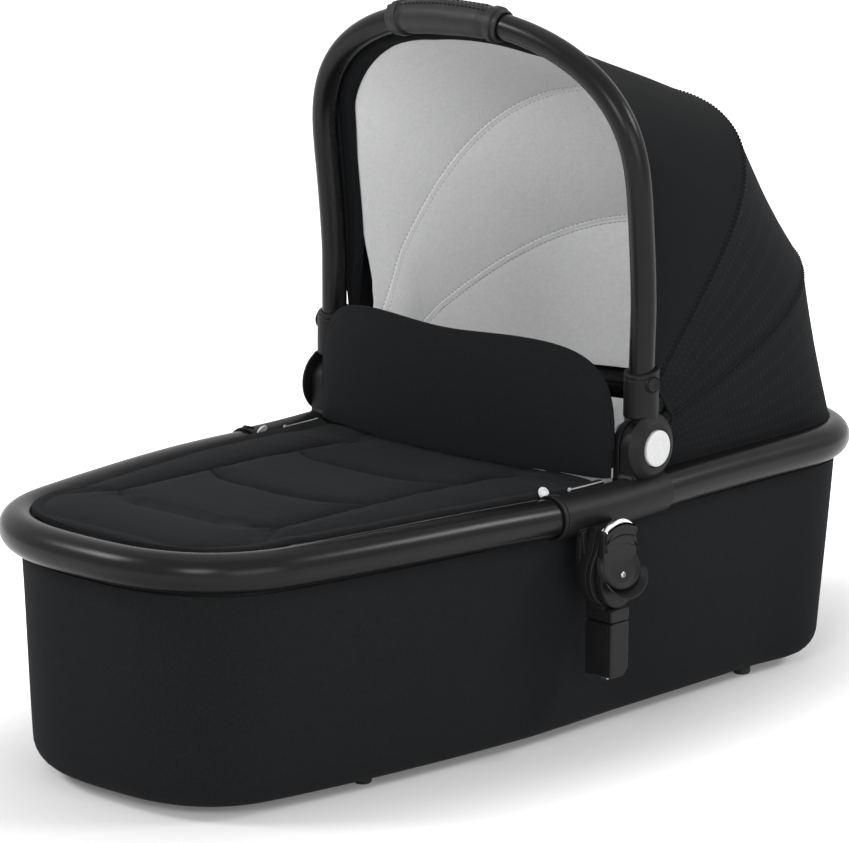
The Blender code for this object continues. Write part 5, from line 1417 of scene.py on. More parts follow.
def rear_section():
    """The cloth's hem along the rim tube, round the head end."""
    straight = spaced(REAR_HEM_START, HEAD_END - HEAD_CORNER_LENGTH, LEG_STEPS)[:-1]
    shares = corner_shares(HEAD_CORNER_POWER, ARCH_STEPS)
    corner = [HEAD_END - HEAD_CORNER_LENGTH * share for share in shares[::-1]]
    half = []
    for x in straight + [HEAD_END - HEAD_CORNER_LENGTH] + corner:
        share = smooth_share(x, HEAD_END - HEAD_CORNER_LENGTH, HEAD_END - HEAD_CORNER_LENGTH / 4)
        inset = REAR_HEM_INSET + (REAR_HEM_END_INSET - REAR_HEM_INSET) * share
        height = RIM_HEIGHT + math.sqrt(RIM_TUBE_RADIUS ** 2 - inset ** 2) + GAP
        point = Vector((x, -half_width(x), 0))
        if x < HEAD_END:
            point -= plan_normal(min(x, HEAD_END - RIM_TUBE_RADIUS / 9)) * inset
        else:
            point = Vector((HEAD_END - inset, 0, 0))
        half.append(Vector((point.x, point.y, height)))
    points = both_sides(half)
    inward = []
    for index in range(len(points)):
        along = direction_along(points, index)
        inward.append(Vector((-along.y, along.x, 0)).normalized())
    return points, inward


def arm_share(point):
    """1 beside the ribs' straight arms near the hinge, falling to 0 where the ribs meet the cloth."""
    reach = (Vector((point.x, 0, point.z)) - Vector((HINGE_X, 0, HINGE_HEIGHT))).length
    return min(max((RIB_CLOTH_START - reach) / (RIB_CLOTH_START - RIB_ARM_END), 0), 1)


def canopy_keys(lead, power):
    """Outlines that the cloth passes through, with their shares of the handle's turn."""
    return [
        (*front_section(), 1),
        (*rib_section(RIB_1[0] - lead, *RIB_1[1:3], power, RIB_1[4]), RIB_1_FOLD_SHARE),
        (*rib_section(RIB_2[0] - lead, *RIB_2[1:]), RIB_2_FOLD_SHARE),
        (*rear_section(), 0),
    ]


CANOPY_KEYS = canopy_keys(0, RIB_1[3])
LINING_KEYS = canopy_keys(LINING_LEAD, LINING_RIB_1_POWER)
SEAM_DISTANCES = (0.0007, 0.0015, 0.0024, 0.0031, 0.0037, 0.0045, 0.0060)


def fold_weight(first, second, share, length):
    """Share of the handle's turn: cloth close to an edge or a rib moves with it."""
    margin = min(FOLD_MARGIN / length, 0.3)
    inner_share = min(max((share - margin) / (1 - 2 * margin), 0), 1)
    return first + (second - first) * inner_share


def canopy_grid(relief, keys, start_distance=0):
    """Rows of (point, inward, weight, seam distance) from the front edge to the rear hem.

    Rows near each rib keep an even distance from it. relief(seam distance, key number, point, share)
    gives how far a place is moved inwards.
    """
    rows = []
    for number, (first, second) in enumerate(zip(keys, keys[1:])):
        panel = None
        for column in range(len(first[0])):
            a, b = first[0][column], second[0][column]
            length = (b - a).length
            begin = min(start_distance / length, 0.4) if number == 0 else 0
            margin = SEAM_DISTANCES[-1] / length
            near = [distance / length for distance in SEAM_DISTANCES]
            shares = [begin] + [begin + share for share in near]
            shares += spaced(begin + margin, 1 - margin, PANEL_STEPS)[1:-1]
            shares += [1 - share for share in near[::-1]] + [1]
            if panel is None:
                panel = [[] for share in shares]
            for row, share in zip(panel, shares):
                distance = min(share, 1 - share) * length
                nearest = number if share < 0.5 else number + 1
                point = a.lerp(b, share)
                inward = first[1][column].lerp(second[1][column], share).normalized()
                depth = relief(distance, nearest, point, share)
                weight = fold_weight(first[2], second[2], share, length)
                row.append((point + inward * depth, inward, weight, distance))
        rows += panel if number == 0 else panel[1:]
    return rows


def canopy_sheet(name, rows, thickness, slot, nodes):
    """A sheet through the canopy's rows."""
    front = [[place[0] for place in row] for row in rows]
    back = [[place[0] + place[1] * thickness for place in row] for row in rows]
    weights = []
    for row in rows:
        spread = [place[2] for place in row]
        weights += spread + spread[::-1]
    made = piece(name, sheet_mesh(name, front, back), slot, nodes=nodes)
    blend_canopy(made)
    return made, front


def blend_canopy(made):
    """Bakes a piece's placement into its mesh."""
    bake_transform(made)


def panel_sag(key, point, share):
    """How far the stretched cloth lies inside the straight line between two of its keys."""
    number = key if share < 0.5 else key - 1
    high_share = smooth_share(point.z, HINGE_HEIGHT, HINGE_HEIGHT + 0.12)
    if number == 0:
        return FRONT_SAG * high_share * share * (1 - share) ** 3 * SAG_PEAK_SCALE
    return (MIDDLE_SAG if number == 1 else REAR_SAG) * math.sin(math.pi * share) * high_share


def outer_relief(distance, key, point, share):
    """Sewn line over each rib with the cloth drawn in between the ribs."""
    depth = panel_sag(key, point, share)
    if key in (1, 2):
        depth += 0.0013 * ridge(distance, 0.0010) - 0.0003 * ridge(distance - 0.0031, 0.0016)
    depth += 0.0005 * noise.noise(point * 16) * smooth_share(distance, 0, 0.02)
    return depth


def lining_relief(distance, key, point, share):
    """Rib channels sewn on both sides, with soft wrinkles between them."""
    depth = LINING_LAYER + LINING_RIB_ROOM + LINING_FOOT_EXTRA * arm_share(point)
    depth += panel_sag(key, point, share)
    if key in (1, 2):
        depth += 0.0009 * smooth_share(distance, 0.0036, 0.0024)
        depth -= 0.0006 * ridge(distance - 0.0037, 0.0007)
    pull = smooth_share(distance, 0, 0.03)
    fold = noise.noise(Vector((point.x * 9, point.y * 5, point.z * 22 + point.x * 14)))
    depth += 0.0016 * fold * pull
    return depth


def seam_paths(rows, indexes, lift):
    """Paths for stitches along some rows of a canopy grid, with their weights."""
    paths, weights = [], []
    for index in indexes:
        paths.append([(place[0] - place[1] * lift, -place[1]) for place in rows[index]])
        weights.append([place[2] for place in rows[index]])
    return paths, weights


def rib_rows(offset):
    """Indexes of the rows at one of the seam distances, on both sides of each rib."""
    span = 2 * len(SEAM_DISTANCES) + PANEL_STEPS
    return [span * number + step for number in (1, 2) for step in (-offset, offset)]


def dress_canopy():
    rows = canopy_grid(outer_relief, CANOPY_KEYS)
    panels = ["canopy_front_panel", "canopy_middle_panel", "canopy_rear_panel"]
    hood, grid = canopy_sheet("canopy_hood", rows, CLOTH_THICKNESS, "canopy_cloth", panels)
    paths, weights = seam_paths(rows, rib_rows(4), STITCH_RADIUS / 2)
    edge_paths, edge_weights = seam_paths(rows, (len(SEAM_DISTANCES),), STITCH_RADIUS / 2)
    mesh, spread = stitch_mesh("canopy_stitches", paths + edge_paths, weights + edge_weights)
    blend_canopy(piece("canopy_stitches", mesh, "canopy_cloth", material=THREAD))
    dress_canopy_edges(rows)
    hem_middle = FRONT_HEM_WIDTH + 3 * GAP
    lining_grid = canopy_grid(lining_relief, LINING_KEYS, hem_middle)
    lining, grid = canopy_sheet(
        "canopy_inner", lining_grid, LINING_CLOTH_THICKNESS, "silver_cloth", ["canopy_lining"]
    )
    paths, weights = [], []
    lift = LINING_CLOTH_THICKNESS + GAP / 2
    for index in rib_rows(5):
        row = lining_grid[index]
        paths.append([(place[0] + place[1] * lift, place[1]) for place in row])
        weights.append([place[2] for place in row])
    mesh, spread = stitch_mesh("lining_stitches", paths, weights)
    blend_canopy(piece("lining_stitches", mesh, "silver_cloth", material=PALE_THREAD))
    dress_front_hem()


def dress_canopy_edges(rows):
    """Bound edge of the hood along its front and its two lower sides, and the hem on the rim."""
    half_cloth = CLOTH_THICKNESS / 2
    meshes, weights = [], []
    sides = 10
    borders = [[row[0] for row in rows], [row[-1] for row in rows], rows[0], rows[-1]]
    for number, border in enumerate(borders):
        path = [place[0] + place[1] * half_cloth for place in border]
        inward = border[len(border) // 2][1]
        across = inward if number < 2 else Vector((1, 0, 0))
        if number == 3:
            across = Vector((0, 0, 1))
        rings = sweep_rings(path, [0.0016] * len(path), sides, across)
        meshes.append(ring_mesh("binding", rings))
        weights += [place[2] for place in border for side in range(sides)]
    made = piece("canopy_binding", join_meshes("canopy_binding", meshes), "black_cloth")
    blend_canopy(made)


def ahead_of_rib(point, rib_point):
    """Share of the handle's turn that still leaves a place of the roll clear of the first rib."""
    hinge = Vector((HINGE_X, 0, HINGE_HEIGHT))
    arm = point - hinge
    rib = rib_point - hinge
    room = math.atan2(rib.x, rib.z) - math.atan2(arm.x, arm.z)
    room -= ROLL_RIB_CLEARANCE / math.hypot(arm.x, arm.z)
    share = RIB_1_FOLD_SHARE + room / HANDLE_FOLD_LIMIT
    return min(max(share, RIB_1_FOLD_SHARE), 1)


def dress_front_hem():
    """Padded black band inside the canopy's front edge, with two sewn lines."""
    first, second = CANOPY_KEYS[0], CANOPY_KEYS[1]
    start_depth = CLOTH_THICKNESS + 3 * GAP
    profile = rounded(ROLL_SECTION, ROLL_ROUNDING, closed=True)
    rings, weights = [], []
    count = len(first[0])
    for column in range(count):
        a, b = first[0][column], second[0][column]
        length = (b - a).length
        wide = min(FRONT_HEM_WIDTH, length * ROLL_WIDTH_SHARE)
        deepest = FRONT_HEM_DEPTH + FRONT_HEM_TOP_DEPTH * smooth_share(abs(a.y), *ROLL_DEEP_HALF_WIDTHS)
        deepest *= 1 - ROLL_THINNING_SHARE * arm_share(a)
        ring = []
        for along_share, depth_share in profile:
            share = max(along_share * wide, 0) / length
            inward = first[1][column].lerp(second[1][column], share).normalized()
            depth = start_depth + (deepest - start_depth) * depth_share
            ring.append(a.lerp(b, share) + inward * depth)
            weight = fold_weight(1, RIB_1_FOLD_SHARE, share, length)
            weights.append(min(weight, ahead_of_rib(ring[-1], b)))
        rings.append(ring)
    mesh = ring_mesh("front_roll", rings)
    made = piece("canopy_front_roll", mesh, "black_cloth", nodes=["canopy_front_hem"])
    blend_canopy(made)


# Tub


def wall_profile(offset, top, floor, steps):
    """Rings of the tub's wall moved inwards by offset: floor first, wall top last."""
    radius = COVER_EDGE_RADIUS - offset
    bottom_inset = COVER_BASE_INSET + offset
    rings = []
    for turn in spaced(0, math.pi / 2, 8):
        rings.append((bottom_inset + radius * (1 - math.sin(turn)), floor + radius * (1 - math.cos(turn))))
    for share in spaced(0, 1, steps)[1:]:
        inset = bottom_inset + (COVER_TOP_INSET + offset - bottom_inset) * share
        rings.append((inset, floor + radius + (top - floor - radius) * share))
    return rings


def cover_move(point, height):
    """How far the cloth stands out: full at both ends, drawn in low on the sides, and sewn at a seam."""
    seam = crease(point.x - COVER_SEAM_X, 0.0011)
    slack = noise.noise(Vector((point.x * 7, point.y * 7, height * 9)))
    low_share = smooth_share(height, COVER_TOP, FOOT_HEIGHT)
    head_share = smooth_share(point.x, HEAD_END - HEAD_CORNER_LENGTH * 1.1, HEAD_END - HEAD_CORNER_LENGTH / 4)
    foot_share = smooth_share(point.x, 0, FOOT_END + FOOT_CORNER_LENGTH)
    side_share = smooth_share(point.x, SLEEVE_START, SLEEVE_END) * (1 - head_share)
    reach = COVER_HEAD_REACH * head_share + COVER_FOOT_REACH * foot_share * low_share
    reach -= COVER_SIDE_DRAW * side_share * low_share
    return reach - 0.0010 * seam + 0.0006 * slack


def cover_plan(inset, height):
    return plan_ring(inset, height, cover_move)


def dress_cover():
    """Cloth cover of the tub, drawn tight round its base."""
    outer = wall_profile(0, COVER_TOP, FOOT_HEIGHT, 12)
    inner = wall_profile(COVER_THICKNESS, COVER_TOP, FOOT_HEIGHT + COVER_THICKNESS, 12)
    base = [(0.16, FOOT_HEIGHT), (0.10, FOOT_HEIGHT), (0.065, FOOT_HEIGHT)]
    inner_base = [(inset, FOOT_HEIGHT + COVER_THICKNESS) for inset, height in base]
    outer_rings = [cover_plan(*ring) for ring in base + outer]
    inner_rings = [cover_plan(*ring) for ring in inner_base + inner]
    rings = outer_rings + inner_rings[::-1]
    made = piece("tub_cloth", ring_mesh("tub_cloth", rings), "black_cloth", "tub", ["tub_cover"])


def dress_shell():
    """Moulded shell between cover and lining, turned in to a lip under the rim."""
    depth = COVER_THICKNESS + GAP
    outer = wall_profile(depth, COVER_TOP - SHELL_TOP_DROP, FOOT_HEIGHT + depth, SHELL_STEPS)
    inner_depth = depth + SHELL_THICKNESS
    inner = wall_profile(inner_depth, COVER_TOP - SHELL_TOP_DROP, FOOT_HEIGHT + inner_depth, SHELL_STEPS)
    lip = [(SHELL_LIP_INSET - SHELL_LIP_SETBACK, SHELL_LIP_TOP - SHELL_LIP_DEPTH)]
    lip.append((SHELL_LIP_INSET, SHELL_LIP_TOP))
    lip_back = [(inset + SHELL_THICKNESS * SHELL_LIP_SHARE, height) for inset, height in lip]
    base = [(inset, FOOT_HEIGHT + depth) for inset in SHELL_BASE_INSETS]
    inner_base = [(inset, FOOT_HEIGHT + inner_depth) for inset, height in base]
    rings = [cover_plan(*ring) for ring in base + outer] + [plan_ring(*ring) for ring in lip]
    rings += [plan_ring(*ring) for ring in lip_back[::-1]]
    rings += [cover_plan(*ring) for ring in inner[::-1] + inner_base[::-1]]
    piece("tub_tray", ring_mesh("tub_tray", rings), "moulded_black", "tub", ["tub_shell"])


def dress_lining():
    """Pale lining of the tub with a rolled top edge."""
    taper = COVER_BASE_INSET - COVER_TOP_INSET
    outer_base = LINING_OUTER_TOP + taper
    round_off = LINING_THICKNESS * 2
    outer = [(outer_base + round_off, LINING_FLOOR), (outer_base, LINING_FLOOR + round_off)]
    outer += [
        (outer_base + (LINING_OUTER_TOP - outer_base) * share, LINING_FLOOR + round_off + share * 0.172)
        for share in spaced(0, 1, 10)[1:]
    ]
    outer.append((LINING_OUTER_TOP, LINING_TOP - 0.0012))
    rows = [plan_ring(inset, LINING_FLOOR) for inset in LINING_FLOOR_INSETS]
    rows += [plan_ring(inset, height) for inset, height in outer]
    back = [plan_ring(inset, LINING_FLOOR + LINING_THICKNESS) for inset in LINING_FLOOR_INSETS]
    for inset, height in outer:
        lift = LINING_THICKNESS if height < LINING_FLOOR + round_off else 0
        back.append(plan_ring(inset + LINING_THICKNESS, height + lift, lining_move))
    rim = [plan_ring(LINING_OUTER_TOP + LINING_THICKNESS / 2, LINING_TOP)]
    rings = rows + rim + back[::-1]
    mesh = ring_mesh("tub_lining", rings)
    made = piece("tub_lining_cloth", mesh, "silver_cloth", "tub", ["tub_lining", "tub_padding"])


def lining_move(point, height):
    """Soft unevenness of the padded lining, inwards only."""
    free_share = smooth_share(height, 0.05, 0.09) * smooth_share(height, 0.198, 0.17)
    soft = 0.5 + 0.5 * noise.noise(Vector((point.x * 11, point.y * 11, height * 14)))
    return -0.0022 * soft * free_share


def dress_mattress():
    """Mattress with a crowned, stitched top and a welt round both edges."""
    radius = MATTRESS_SIDE_RADIUS
    low = MATTRESS_FLOOR
    high = MATTRESS_FLOOR + MATTRESS_THICKNESS
    profile = [(MATTRESS_EDGE + 4 * radius, low)]
    for share in spaced(0, 1, 6):
        turn = math.pi * share
        bulge = radius * math.sin(turn)
        profile.append((MATTRESS_EDGE + radius - bulge, low + (high - low) * (1 - math.cos(turn)) / 2))
    rings = [plan_ring(inset, height) for inset, height in profile]
    centre = Vector(((HEAD_END + FOOT_END) / 2 + MATTRESS_CENTRE_SHIFT, 0, 0))
    edge_ring = plan_ring(MATTRESS_EDGE + 2 * radius, high)
    for share in spaced(0, 0.97, MATTRESS_RING_STEPS):
        ring = []
        for point in edge_ring:
            inner = centre.x + (point.x - centre.x) * MATTRESS_CENTRE_SHARE
            place = point.lerp(Vector((inner, 0, high)), share)
            puff_share = math.sin(math.pi / 2 * min(share * MATTRESS_PUFF_SHARE, 1))
            waves = place * MATTRESS_QUILT_WAVES
            quilt = math.cos(waves.x) * math.cos(waves.y)
            rise = MATTRESS_CROWN * puff_share + MATTRESS_QUILT_RISE * quilt * puff_share
            ring.append(Vector((place.x, place.y, high + rise)))
        rings.append(ring)
    made = piece("mattress_pad", ring_mesh("mattress", rings), "silver_cloth", "tub", ["mattress"])
    meshes = []
    for height in (low + radius / 2, high - radius / 3):
        path = plan_ring(MATTRESS_EDGE + radius * 0.8, height)
        radii = [WELT_RADIUS] * (len(path) + 2)
        rings = sweep_rings(path + path[:2], radii, WELT_SIDES, Vector((0, 0, 1)))
        meshes.append(ring_mesh("welt", rings[1:-1], joined=True))
    piece("mattress_welts", join_meshes("mattress_welts", meshes), "silver_cloth", "tub")


def dress_feet():
    for node in ("foot_front_right", "foot_front_left", "foot_rear_right", "foot_rear_left"):
        low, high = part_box(node)
        radius = (high.x - low.x) / 2
        centre = ((low.x + high.x) / 2, (low.y + high.y) / 2, 0)
        corners = [
            (radius * 0.25, 0.0012),
            (radius * 0.50, 0.0012),
            (radius * 0.58, 0),
            (radius * 0.84, 0, 0.001),
            (radius, 0.0018, 0.001),
            (radius, high.z - 0.001),
            (radius * 0.9, high.z),
        ]
        mesh = turned_mesh("foot", centre, (0, 0, 1), rounded(corners, 0.0006))
        piece(node.replace("foot", "tread"), mesh, "rubber", "tub", [node])


# Apron and wind flap


def apron_foot():
    return FOOT_END + APRON_EDGE_INSET


def apron_half_width(x):
    """Half width of the apron, which stays a fixed inset inside the rim tube."""
    foot_share = min(max((x - apron_foot()) / FOOT_CORNER_LENGTH, 0), 1)
    if foot_share == 1:
        return half_width(x) - APRON_EDGE_INSET
    straight = half_width(FOOT_END + FOOT_CORNER_LENGTH) - APRON_EDGE_INSET
    return straight * corner_width_share(foot_share, FOOT_CORNER_POWER)


def apron_base_height(x):
    """Lower edge of the apron's side, which rests on the rim and its sleeve."""
    inset = half_width(x) - apron_half_width(x)
    radius = RIM_TUBE_RADIUS if x < SLEEVE_START - BEAD_WIDTH else BEAD_RADIUS
    rest = RIM_HEIGHT - dip(x) + math.sqrt(max(radius ** 2 - inset ** 2, 0)) + GAP
    return max(APRON_EDGE_HEIGHT - dip(x), rest if x > APRON_SIDE_START else 0)


def ramp_share(x, start, full):
    return min(max((x - start) / (full - start), 0), 1)


def apron_edge_rise(x):
    share = ramp_share(x, APRON_WALL_START, APRON_WALL_FULL)
    return APRON_EDGE_THICKNESS + (APRON_WALL_HEIGHT - APRON_EDGE_THICKNESS) * share


def apron_swell(x, across_share):
    """Crowned top of the apron's filling before the channels are sewn, with its swell share."""
    wide = apron_half_width(x)
    edge_share = min((1 - abs(across_share)) * wide, x - apron_foot()) / APRON_EDGE_INSET
    swell_share = 1 - math.exp(-max(edge_share, 0))
    crown_share = 1 - across_share ** 2
    edge = apron_edge_rise(x)
    filling = APRON_THICKNESS + APRON_CROWN * crown_share
    filling -= APRON_END_DROP * ramp_share(x, APRON_DROP_START, APRON_DROP_FULL)
    return APRON_EDGE_HEIGHT - dip(x) + edge + (filling - edge) * swell_share, swell_share


def long_seam_y(x):
    """Half distance of the long seams, which part towards the foot."""
    return APRON_LONG_SEAM_HALF_WIDTH + APRON_SEAM_SPREAD * max(APRON_FIRST_SEAM - x, 0)


def cross_seam_x(number, y):
    """X of a cross seam, which bows towards the foot between the long seams."""
    end = APRON_FIRST_SEAM + APRON_SEAM_PITCH * number
    return end - APRON_SEAM_BULGE * (1 - min(abs(y) / APRON_LONG_SEAM_HALF_WIDTH, 1) ** APRON_SEAM_POWER)


def border_distance(x, y, wide):
    """Distance of a place from the apron's edge, along the sides and round the foot."""
    return min(wide - abs(y), (x - apron_foot()) * 0.9)


def apron_surface(x, y):
    """Height of the quilted top: pillows between the sewn lines."""
    wide = apron_half_width(x)
    share = y / wide if wide > 0 else 0
    height, swell_share = apron_swell(x, share)
    seam_y = long_seam_y(x)
    edge_gap = border_distance(x, y, wide) - APRON_BORDER
    lines = [(abs(abs(y) - seam_y), 1.0), (abs(edge_gap), BORDER_SEAM_SHARE)]
    if abs(y) < seam_y:
        for number in range(APRON_CROSS_SEAMS):
            lines.append((abs(x - cross_seam_x(number, y)), 1.0))
    deepest = max(strength * crease(distance, PILLOW_CREASE_WIDTH) for distance, strength in lines)
    fine = max(strength * crease(distance, SEAM_CREASE_WIDTH) for distance, strength in lines)
    rumple = 0
    for along_scale, across_scale, layer, height_of in APRON_RUMPLES:
        rumple += noise.noise(Vector((x * along_scale, y * across_scale, layer))) * height_of
    drop = APRON_PILLOW_DROP + APRON_PILLOW_DEPTH * deepest + APRON_SEAM_DEPTH * fine
    side_gap = max(min(wide - abs(y), x - apron_foot()), 0)
    round_share = 1 - math.sqrt(max(1 - (1 - min(side_gap / APRON_EDGE_ROUND, 1)) ** 2, 0))
    height -= drop * swell_share + round_share * APRON_EDGE_ROUND * APRON_ROUND_SHARE
    return max(height + rumple * (0.5 + deepest), apron_base_height(x) + APRON_LEAST_THICKNESS)


def apron_stations():
    shares = corner_shares(FOOT_CORNER_POWER, 26)[1:]
    foot = [apron_foot() + FOOT_CORNER_LENGTH * share for share in shares]
    return foot + spaced(apron_foot() + FOOT_CORNER_LENGTH, APRON_END, 170)


def dress_apron():
    """Quilted cover over the foot half, with pillows, sewn lines and a bound edge."""
    edge = [APRON_EDGE_ROUND * share for share in (0, 0.06, 0.18, 0.38, 0.65, 1, 1.5, 2.2)]
    top, bottom = [], []
    for x in apron_stations():
        wide = apron_half_width(x)
        near = [min(place, wide * 0.3 * place / edge[-1]) for place in edge]
        half = [wide - place for place in near]
        across = half + spaced(half[-1], -half[-1], 140)[1:-1] + [-place for place in half[::-1]]
        top_row, bottom_row = [], []
        for y in across:
            share = y / wide
            height = apron_surface(x, y)
            depth = APRON_EDGE_THICKNESS + (APRON_THICKNESS - APRON_EDGE_THICKNESS) * (1 - share ** 4)
            lowest = apron_swell(x, share)[0] - depth - 0.004
            if abs(share) > 0.93:
                lowest = apron_base_height(x)
            top_row.append(Vector((x, y, height)))
            bottom_row.append(Vector((x, y, min(lowest, height - APRON_EDGE_THICKNESS / 8))))
        top.append(top_row)
        bottom.append(bottom_row)
    made = piece("apron_quilt", sheet_mesh("apron_quilt", top, bottom), "black_cloth", "tub", ["apron"])
    dress_apron_edge()
    dress_apron_stitches()


def dress_apron_edge():
    """Pale edging from a rivet on the apron's side to the flap, and the rivets themselves."""
    for side, label in SIDES:
        path = []
        for x in spaced(RIVET_X, APRON_END - GAP, 12):
            y = apron_half_width(x) + GAP
            path.append(Vector((x, side * y, apron_base_height(x) + EDGING_RISE)))
        mesh = cord_mesh("edging", path, EDGING_RADIUS, Vector((0, 0, 1)), 8)
        way = plan_normal(RIVET_X)
        out = Vector((way.x, -side * way.y, 0))
        rivet = [(0.0004, 0), (0.0019, 0), (0.0021, 0.0008), (0.0012, 0.0016), (0.0003, 0.0018)]
        head = turned_mesh("rivet", path[0] - out * 0.0004, out, rounded(rivet, 0.0004), 28)
        made = join_meshes("edging", [mesh, head])
        piece("apron_edging_" + label, made, "silver_cloth", "tub", material=PALE_THREAD)


def dress_apron_stitches():
    up = Vector((0, 0, 1))
    paths = []
    spread_start = APRON_FIRST_SEAM - 0.050
    for side in (-1, 1):
        line = []
        for x in spaced(spread_start, APRON_END - 0.028, 90):
            y = side * long_seam_y(x)
            line.append((Vector((x, y, apron_surface(x, y) + GAP / 2)), up))
        paths.append(line)
    for number in range(APRON_CROSS_SEAMS):
        line = []
        for y in spaced(-APRON_LONG_SEAM_HALF_WIDTH, APRON_LONG_SEAM_HALF_WIDTH, 60):
            x = cross_seam_x(number, y)
            line.append((Vector((x, y, apron_surface(x, y) + GAP / 2)), up))
        paths.append(line)
    mesh, spread = stitch_mesh("apron_stitches", paths)
    piece("apron_stitches", mesh, "black_cloth", "tub", material=THREAD)


def flap_base(y):
    """X of the flap's middle layer: it bows towards the foot."""
    return FLAP_BASE_X + FLAP_BOW * (y / FLAP_HALF_WIDTH) ** 2


def flap_foot(y):
    x = min(flap_base(y), APRON_END)
    share = min(abs(y) / apron_half_width(x), 1)
    drop = FLAP_FOOT_DROP * smooth_share(share, 0.75, 0.98)
    return apron_swell(x, share)[0] + FLAP_CLEARANCE - drop


def flap_place(across_share, rise_share, face):
    """Point of the flap's front or back face."""
    y = FLAP_HALF_WIDTH * across_share
    foot = flap_foot(y)
    top_share = (1 - min(abs(across_share), 0.9998) ** FLAP_CORNER_POWER) ** FLAP_CORNER_ROUND
    low = flap_foot(0)
    top = max(low + (FLAP_TOP - low) * top_share, foot + FLAP_EDGE_THICKNESS)
    top -= FLAP_TOP_DIP * ridge(y, FLAP_HALF_WIDTH / 3)
    height = foot + (top - foot) * rise_share
    side_gap = FLAP_HALF_WIDTH * (1 - abs(across_share))
    edge_gap = min(side_gap * 1.6, top - height, height - foot + FLAP_BORDER)
    puff_share = 1 - math.exp(-max(edge_gap, 0) / 0.016)
    depth = FLAP_EDGE_THICKNESS + (FLAP_THICKNESS + 0.004 - FLAP_EDGE_THICKNESS) * puff_share
    depth -= 0.0018 * crease(edge_gap - FLAP_BORDER, 0.0022)
    softness = noise.noise(Vector((y * 14, height * 18, 2.0 + face))) * 0.0012
    depth += softness * puff_share
    return Vector((flap_base(y) + face * depth / 2, y, height))


def dress_flap():
    """Padded wind flap with a flat sewn border."""
    columns = [math.sin(math.pi / 2 * share) * 0.75 + share * 0.25 for share in spaced(-1, 1, 110)]
    rises = spaced(0, 1, 44)
    front = [[flap_place(share, rise, -1) for rise in rises] for share in columns]
    back = [[flap_place(share, rise, 1) for rise in rises] for share in columns]
    made = piece("flap_pad", sheet_mesh("flap_pad", front, back), "black_cloth", "wind_flap", ["wind_flap"])
    top_edge = [(row_front[-1] + row_back[-1]) / 2 for row_front, row_back in zip(front, back)]
    mesh = cord_mesh("flap_welt", top_edge, 0.0022, Vector((1, 0, 0)))
    piece("flap_welt", mesh, "black_cloth", "wind_flap")
    meshes = []
    for number in (0, -1):
        side_edge = [(low + high) / 2 for low, high in zip(front[number], back[number])]
        path = [place for place in side_edge if place.z < side_edge[0].z + FLAP_BORDER]
        meshes.append(cord_mesh("flap_edging", path, FLAP_EDGING_RADIUS, Vector((1, 0, 0)), 8))
    mesh = join_meshes("flap_edging", meshes)
    piece("flap_edging", mesh, "silver_cloth", "wind_flap", material=PALE_THREAD)


def dress_studs():
    for side, label in SIDES:
        outward = plan_normal(STUD_X)
        way = Vector((outward.x, -side * outward.y, 0))
        height = apron_base_height(STUD_X) + STUD_RISE
        place = Vector((STUD_X, side * (apron_half_width(STUD_X) - STUD_INSET), height))
        way = (way + Vector((0, 0, STUD_LEAN))).normalized()
        corners = []
        for wide_share, high_share, *bend in STUD_SECTION:
            corners.append((STUD_RADIUS * wide_share, STUD_HEIGHT * high_share, *bend))
        mesh = turned_mesh("stud", place, way, rounded(corners, STUD_ROUNDING), STUD_SIDES)
        piece("stud_cap_" + label, mesh, "silver_paint", "tub", ["snap_stud_" + label])


# Chassis adapter


def arched_top(half, top, arch, steps):
    return [Vector((ADAPTER_X + half * share, top - arch * share ** 2)) for share in spaced(1, -1, steps)]


def dress_bracket(side, label):
    top = RIM_HEIGHT - SLEEVE_RADIUS + BRACKET_OVERLAP
    outline = arc_points(ADAPTER_X, ADAPTER_HEIGHT, BRACKET_HALF_WIDTH, 180, 360, 36)
    outline += [Vector((ADAPTER_X + BRACKET_HALF_WIDTH, top)), Vector((ADAPTER_X - BRACKET_HALF_WIDTH, top))]
    meshes = [block_mesh("bracket", outline, BRACKET_INNER, BRACKET_OUTER, MOULD_EDGE, side)]
    mount = oval_outline(BRACKET_HALF_WIDTH * MOUNT_SHARE, BRACKET_HALF_WIDTH * MOUNT_SHARE)
    end = BRACKET_INNER + MOUNT_OVERLAP
    meshes.append(block_mesh("mount", mount, BRACKET_ROOT, end, MOUNT_EDGE, side))
    rib = [(ADAPTER_X + x, ADAPTER_HEIGHT + height) for x, height in BRACKET_RIB_CORNERS]
    rib = rounded(rib, BRACKET_RIB_ROUNDING, closed=True)
    end = BRACKET_OUTER + BRACKET_RIB_PROUD
    meshes.append(block_mesh("rib", rib, BRACKET_OUTER - BRACKET_RIB_DEPTH, end, MOULD_EDGE, side))
    mesh = join_meshes("adapter_plate", meshes)
    piece("adapter_plate_" + label, mesh, "moulded_black", "tub", ["adapter_bracket_" + label])


def plug_outline(low, high, chamfer):
    left = ADAPTER_X - PLUG_HALF_WIDTH
    right = ADAPTER_X + PLUG_HALF_WIDTH
    corners = [(left, low), (right - chamfer, low)]
    if chamfer:
        corners.append((right, low + chamfer))
    corners += [(right, high), (left, high)]
    return rounded(corners, PLUG_ROUNDING, closed=True)


def plug_layers():
    """Layers of the plug with a groove along its outer corners."""
    low, high = PLUG_INNER, PLUG_OUTER
    groove = high - 0.0032
    layers = soft_layers(low, high, 0.0012)
    middle = len(layers) // 2
    cut_rings = [(0, groove - 0.0008), (0.0009, groove - 0.0004)]
    cut_rings += [(0.0009, groove + 0.0004), (0, groove + 0.0008)]
    return layers[:middle] + cut_rings + layers[middle:]


